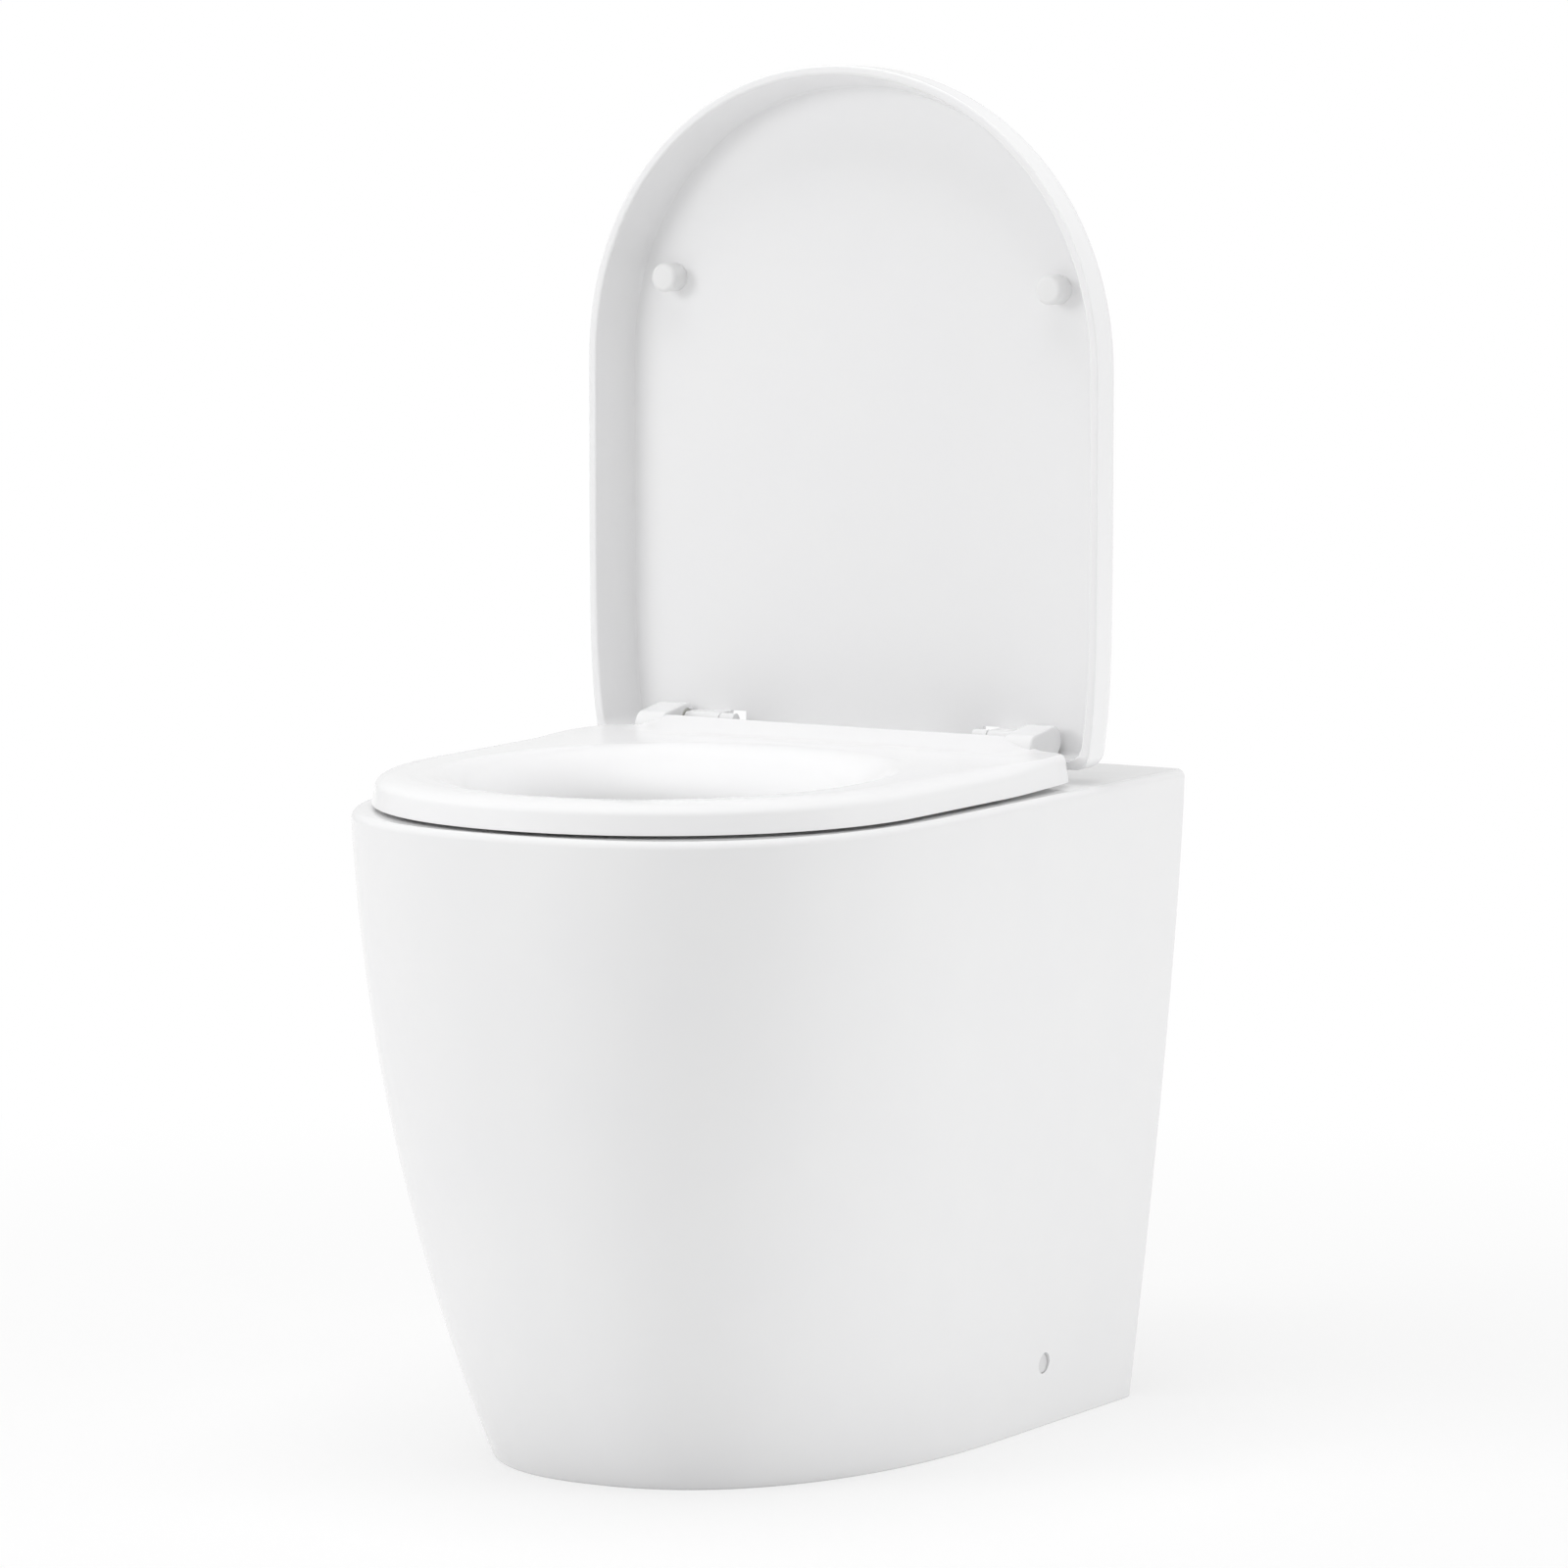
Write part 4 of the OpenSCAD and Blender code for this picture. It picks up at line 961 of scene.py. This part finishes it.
def lid_rows(z, inset, back):
    """Outlines of the lid at the heights z, moved in by inset, with their rear at back."""
    z, inset, back = np.broadcast_arrays(*(np.asarray(v, float) for v in (z, inset, back)))
    x, y = d_outline(SEAT_HALF + LID_GROW - inset, SEAT_FRONT + LID_GROW - inset, back,
                     SEAT_NOSE + LID_GROW - inset, SEAT_SQUARE, SIDE_EASE, BACK_CORNER, LID_STEPS)
    return stacked(x, y, z)


back_inside, back_outside = HINGE_D - LID_BACK_IN, HINGE_D - LID_BACK
shoulder = LID_TOP - LID_ROUND
fillet, rim, over = quarter(10)[::-1], quarter(5), quarter(16, 1)
z_fillet = LID_CEILING - LID_FILLET * (1 - np.sin(fillet))
z_lean = np.linspace(LID_CEILING - LID_FILLET, LID_Z + RIM_EDGE, LEAN_ROWS)[1:-1]
z_side = np.linspace(LID_Z + RIM_EDGE, shoulder, SIDE_ROWS)[1:]
# Height, inset and rear edge of each stretch, in the order of the rows
stretches = {
    "fillet": (z_fillet,
               LID_WALL + lean * (z_fillet - LID_Z) + LID_FILLET_IN * (1 - np.cos(fillet)),
               back_inside + LID_FILLET * (1 - np.cos(fillet))),
    "inner wall": (z_lean,
                   LID_WALL + lean * (z_lean - LID_Z),
                   back_inside + 0 * z_lean),
    "inside of the rim": (LID_Z + RIM_EDGE * (1 - np.sin(rim)),
                          LID_WALL - RIM_EDGE * (1 - np.cos(rim) - lean * (1 - np.sin(rim))),
                          back_inside - RIM_EDGE * (1 - np.cos(rim))),
    "outside of the rim": (LID_Z + RIM_EDGE * (1 - np.cos(rim)),
                           RIM_EDGE * (1 - np.sin(rim)),
                           back_outside + RIM_EDGE * (1 - np.sin(rim))),
    "outer side": (z_side,
                   OUTER_DRAFT * (z_side - LID_Z) / (shoulder - LID_Z),
                   back_outside + 0 * z_side),
    "outer radius": (shoulder + LID_ROUND * np.sin(over),
                     OUTER_DRAFT + LID_ROUND * (1 - np.cos(over)),
                     back_outside + LID_BACK_ROUND * (1 - np.cos(over))),
}
lid = skin("lid_moulding", lid_rows(*(np.concatenate(part) for part in zip(*stretches.values()))))
print("lid rows:", {name: len(stretch[0]) for name, stretch in stretches.items()})
measured(lid)

# %% [markdown]
# At the back the tray gets its hinge parts: two arms that reach from the panel to the hinge
# axis, a rear edge rounded about that axis, so that it clears the deck as the lid turns, and
# notches and slots that let it pass the fixed posts.

# %% Arms, relief and notches
def hinge_bar(name, radius, x0, x1):
    """A round bar along X about the hinge axis."""
    return bar(name, radius, (x0, HINGE_Y, HINGE_Z), (x1, HINGE_Y, HINGE_Z), "X", WIDE_POINTS)


def sides_of(x0, x1):
    """The same span on the right and on the left, each with its lower end first."""
    return (x0, x1), (-x1, -x0)


for x0, x1 in sides_of(ARM_IN, ARM_OUT):
    arm = hinge_bar("arm", ARM_R, x0, x1)
    web = block("web", (x0, HINGE_Y - ARM_R, HINGE_Z),
                (x1, HINGE_Y + ARM_R, LID_CEILING + LID_PANEL / 2))
    carve(arm, web, "UNION")
    carve(lid, arm, "UNION")
for x0, x1 in sides_of(ARM_IN - CUT, ARM_OUT + CUT):
    carve(lid, hinge_bar("pin_bore", PIN_R + PIN_FIT, x0, x1))
relief = block("relief", (-PAN_W, HINGE_Y, LID_Z - CUT), (PAN_W, HINGE_Y + 2 * LID_BACK, HINGE_Z))
carve(relief, hinge_bar("relief_round", RELIEF_R, -PAN_W - CUT, PAN_W + CUT))
carve(lid, relief)
for x0, x1 in sides_of(PLATE_IN - NOTCH_GAP, PLATE_OUT + NOTCH_GAP):
    carve(lid, block("notch", (x0, HINGE_Y + ARM_R + SIDE_GAP, LID_Z - CUT),
                     (x1, HINGE_Y + 2 * LID_BACK, HINGE_Z + ARM_R + SIDE_GAP)))
for x0, x1 in sides_of(POST_IN - SIDE_GAP, POST_OUT + SIDE_GAP):
    carve(lid, block("slot", (x0, HINGE_Y - ARM_R - SIDE_GAP, HINGE_Z + ARM_R + SIDE_GAP),
                     (x1, HINGE_Y + 2 * LID_BACK, HINGE_Z + LID_DEPTH)))
for side in (1, -1):
    spot = (side * BUFFER_X, HINGE_Y - BUFFER_REACH)
    carve(lid, bar("buffer_hole", BUFFER_STEM_R + PIN_FIT, (*spot, LID_CEILING - CUT),
                   (*spot, LID_CEILING + BUFFER_STEM_L), "Z", STEM_POINTS))

# %% [markdown]
# The tray is finished, so it is turned back by a quarter turn about the hinge axis. The turn is
# put into the mesh, and the object itself stays at the origin.

# %% Open the lid
def opened(piece):
    """Turns the mesh a quarter turn back about the hinge axis."""
    axis = Vector((0, HINGE_Y * MM, HINGE_Z * MM))
    quarter_back = Matrix.Rotation(-math.pi / 2, 4, "X")
    piece.data.transform(Matrix.Translation(axis) @ quarter_back @ Matrix.Translation(-axis))
    piece.data.update()


opened(lid)
paint(lid, urea)
shade(lid)
measured(lid)
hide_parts("lid")
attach(lid, "lid")

# %% [markdown]
# Two round buffers on the lid's panel rest on the ring when the lid is shut. Each is a soft
# button with a domed edge.

# %% Buffers
BUFFER_GAP = 0.3
buffer_low = SEAT_TOP + BUFFER_GAP
dome = quarter(8)
buffer_radius = np.concatenate([[BUTTON_FLAT], BUFFER_R - BUFFER_DOME * (1 - np.sin(dome)),
                                [BUFFER_R, BUFFER_STEM_R, BUFFER_STEM_R]])
buffer_height = np.concatenate([[buffer_low], buffer_low + BUFFER_DOME * (1 - np.cos(dome)),
                                [LID_CEILING, LID_CEILING, LID_CEILING + BUFFER_STEM_L]])
buffers = turned("lid_buffer_buttons", buffer_radius, buffer_height,
                 (BUFFER_X, HINGE_Y - BUFFER_REACH, 0), "Z")
on_both_sides(buffers)
opened(buffers)
paint(buffers, elastomer)
shade(buffers)
measured(buffers)
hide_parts("lid_buffers")
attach(buffers, "lid")

# %% [markdown]
# ## Hardware that keeps its CAD mesh
#
# Posts, pins, bolts, bushes and brackets are small parts whose CAD shape is already right. Only
# their materials change.

# %% Materials of the hardware
HARDWARE = {
    urea: ("hinge_post_left", "hinge_post_right"),
    steel: ("hinge_bolts", "cone_nuts", "hinge_pin_left", "hinge_pin_right", "captive_nuts",
            "side_screws"),
    nylon: ("floor_bracket_left", "floor_bracket_right", "side_bushes", "damper_left",
            "damper_right"),
    elastomer: ("hinge_gaskets",),
    seal_rubber: ("inlet_seal", "expanding_bushes"),
}
for material, names in HARDWARE.items():
    for name in names:
        paint(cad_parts[name], material)
print("hardware with new materials:", sum(len(names) for names in HARDWARE.values()))

# %% [markdown]
# ## Floor, background and light
#
# The floor is plain white and catches the soft shadow of the foot. The world is white to the
# camera and dimmer as a source of light, so that white china keeps its shading in front of a
# white background. In reflections it shows a little dimmer than to the camera, or the edges of
# the china, which mirror it most, would burn out.
#
# Two large soft lamps stand well to the sides and one hangs above: a curved white surface then
# turns darker where it faces the camera, and that is what shows its shape.

# %% What a ray sees
REFLECTED = 0.8


def directly(tree, reflected):
    """1 for rays from the camera or through glass, `reflected` for glossy rays, else 0."""
    path = add(tree, "ShaderNodeLightPath")
    straight = add(tree, "ShaderNodeMath", {"operation": "MAXIMUM"},
                   in0=path.outputs["Is Camera Ray"], in1=path.outputs["Is Transmission Ray"])
    mirror = add(tree, "ShaderNodeMath", {"operation": "MULTIPLY"},
                 in0=path.outputs["Is Glossy Ray"], in1=reflected)
    return add(tree, "ShaderNodeMath", {"operation": "MAXIMUM"}, in0=straight.outputs[0],
               in1=mirror.outputs[0]).outputs[0]


# %% [markdown]
# Close to the object the floor is a real surface that takes its shadow. Further out it fades to
# the white of the background, so that no horizon shows.

# %% Floor
FLOOR_HALF, FLOOR_T = 6.0, 20.0
# The share of plain white grows from FLOOR_WHITE to 1 between the two radii, in metres
FLOOR_PAINT, FLOOR_FADE, FLOOR_WHITE = "#F8F8F8", (0.45, 1.4), 0.65
corners = np.array([[-1, 1, 1, -1], [-1, -1, 1, 1]]) * FLOOR_HALF / MM
floor = skin("floor", stacked(corners[:1], corners[1:], [-FLOOR_T, 0.0]))
floor_paint, tree = new_material("white_studio_floor")
place = add(tree, "ShaderNodeTexCoord").outputs["Object"]
reach = add(tree, "ShaderNodeVectorMath", {"operation": "LENGTH"}, in0=place)
fade = add(tree, "ShaderNodeMapRange", {"interpolation_type": "SMOOTHSTEP"},
           Value=reach.outputs["Value"], From_Min=FLOOR_FADE[0], From_Max=FLOOR_FADE[1],
           To_Min=FLOOR_WHITE)
share = add(tree, "ShaderNodeMath", {"operation": "MULTIPLY"}, in0=directly(tree, 1.0),
            in1=fade.outputs["Result"])
matt = add(tree, "ShaderNodeBsdfDiffuse", Color=linear(FLOOR_PAINT))
white = add(tree, "ShaderNodeEmission", Color=(1, 1, 1, 1), Strength=1.0)
both = add(tree, "ShaderNodeMixShader", Fac=share.outputs[0], in1=matt.outputs["BSDF"],
           in2=white.outputs["Emission"])
add(tree, "ShaderNodeOutputMaterial", Surface=both.outputs["Shader"])
paint(floor, floor_paint)

# %% World
AMBIENT = 0.53
world = bpy.data.worlds.new("studio")
bpy.context.scene.world = world
world.use_nodes = True
tree = world.node_tree
tree.nodes.clear()
strength = add(tree, "ShaderNodeMath", {"operation": "MAXIMUM"}, in0=directly(tree, REFLECTED),
               in1=AMBIENT)
sky = add(tree, "ShaderNodeBackground", Color=(1, 1, 1, 1), Strength=strength.outputs[0])
add(tree, "ShaderNodeOutputWorld", Surface=sky.outputs["Background"])
print("the world lights at", AMBIENT, "and shows in reflections at", REFLECTED)

# %% Lamps
LOOK_AT = Vector((0.0, -0.03, 0.42))


def softbox(name, azimuth, elevation, distance, size, level):
    """A square lamp aimed at the object, which no reflection shows.

    level is the brightness that it alone gives a white surface that faces it: the power is
    pi squared times the square of the distance times the level. Mirrored in glaze, the lamp
    itself would be a spot of pure white.
    """
    back = camera_axes(math.radians(azimuth), math.radians(elevation))[2]
    data = bpy.data.lights.new(name, "AREA")
    data.shape = "SQUARE"
    data.size = size
    data.energy = math.pi ** 2 * distance ** 2 * level
    lamp = bpy.data.objects.new(name, data)
    lamp.visible_glossy = False
    bpy.context.scene.collection.objects.link(lamp)
    lamp.location = LOOK_AT + back * distance
    lamp.rotation_euler = back.to_track_quat("Z", "Y").to_euler()
    print(name, "at a level of", level)


softbox("left_lamp", azimuth=-35, elevation=20, distance=3.2, size=1.2, level=0.241)
softbox("right_lamp", azimuth=112, elevation=4, distance=3.2, size=1.5, level=0.248)
softbox("top_lamp", azimuth=0, elevation=84, distance=3.0, size=2.0, level=0.475)

bpy.context.scene.view_settings.view_transform = "Standard"
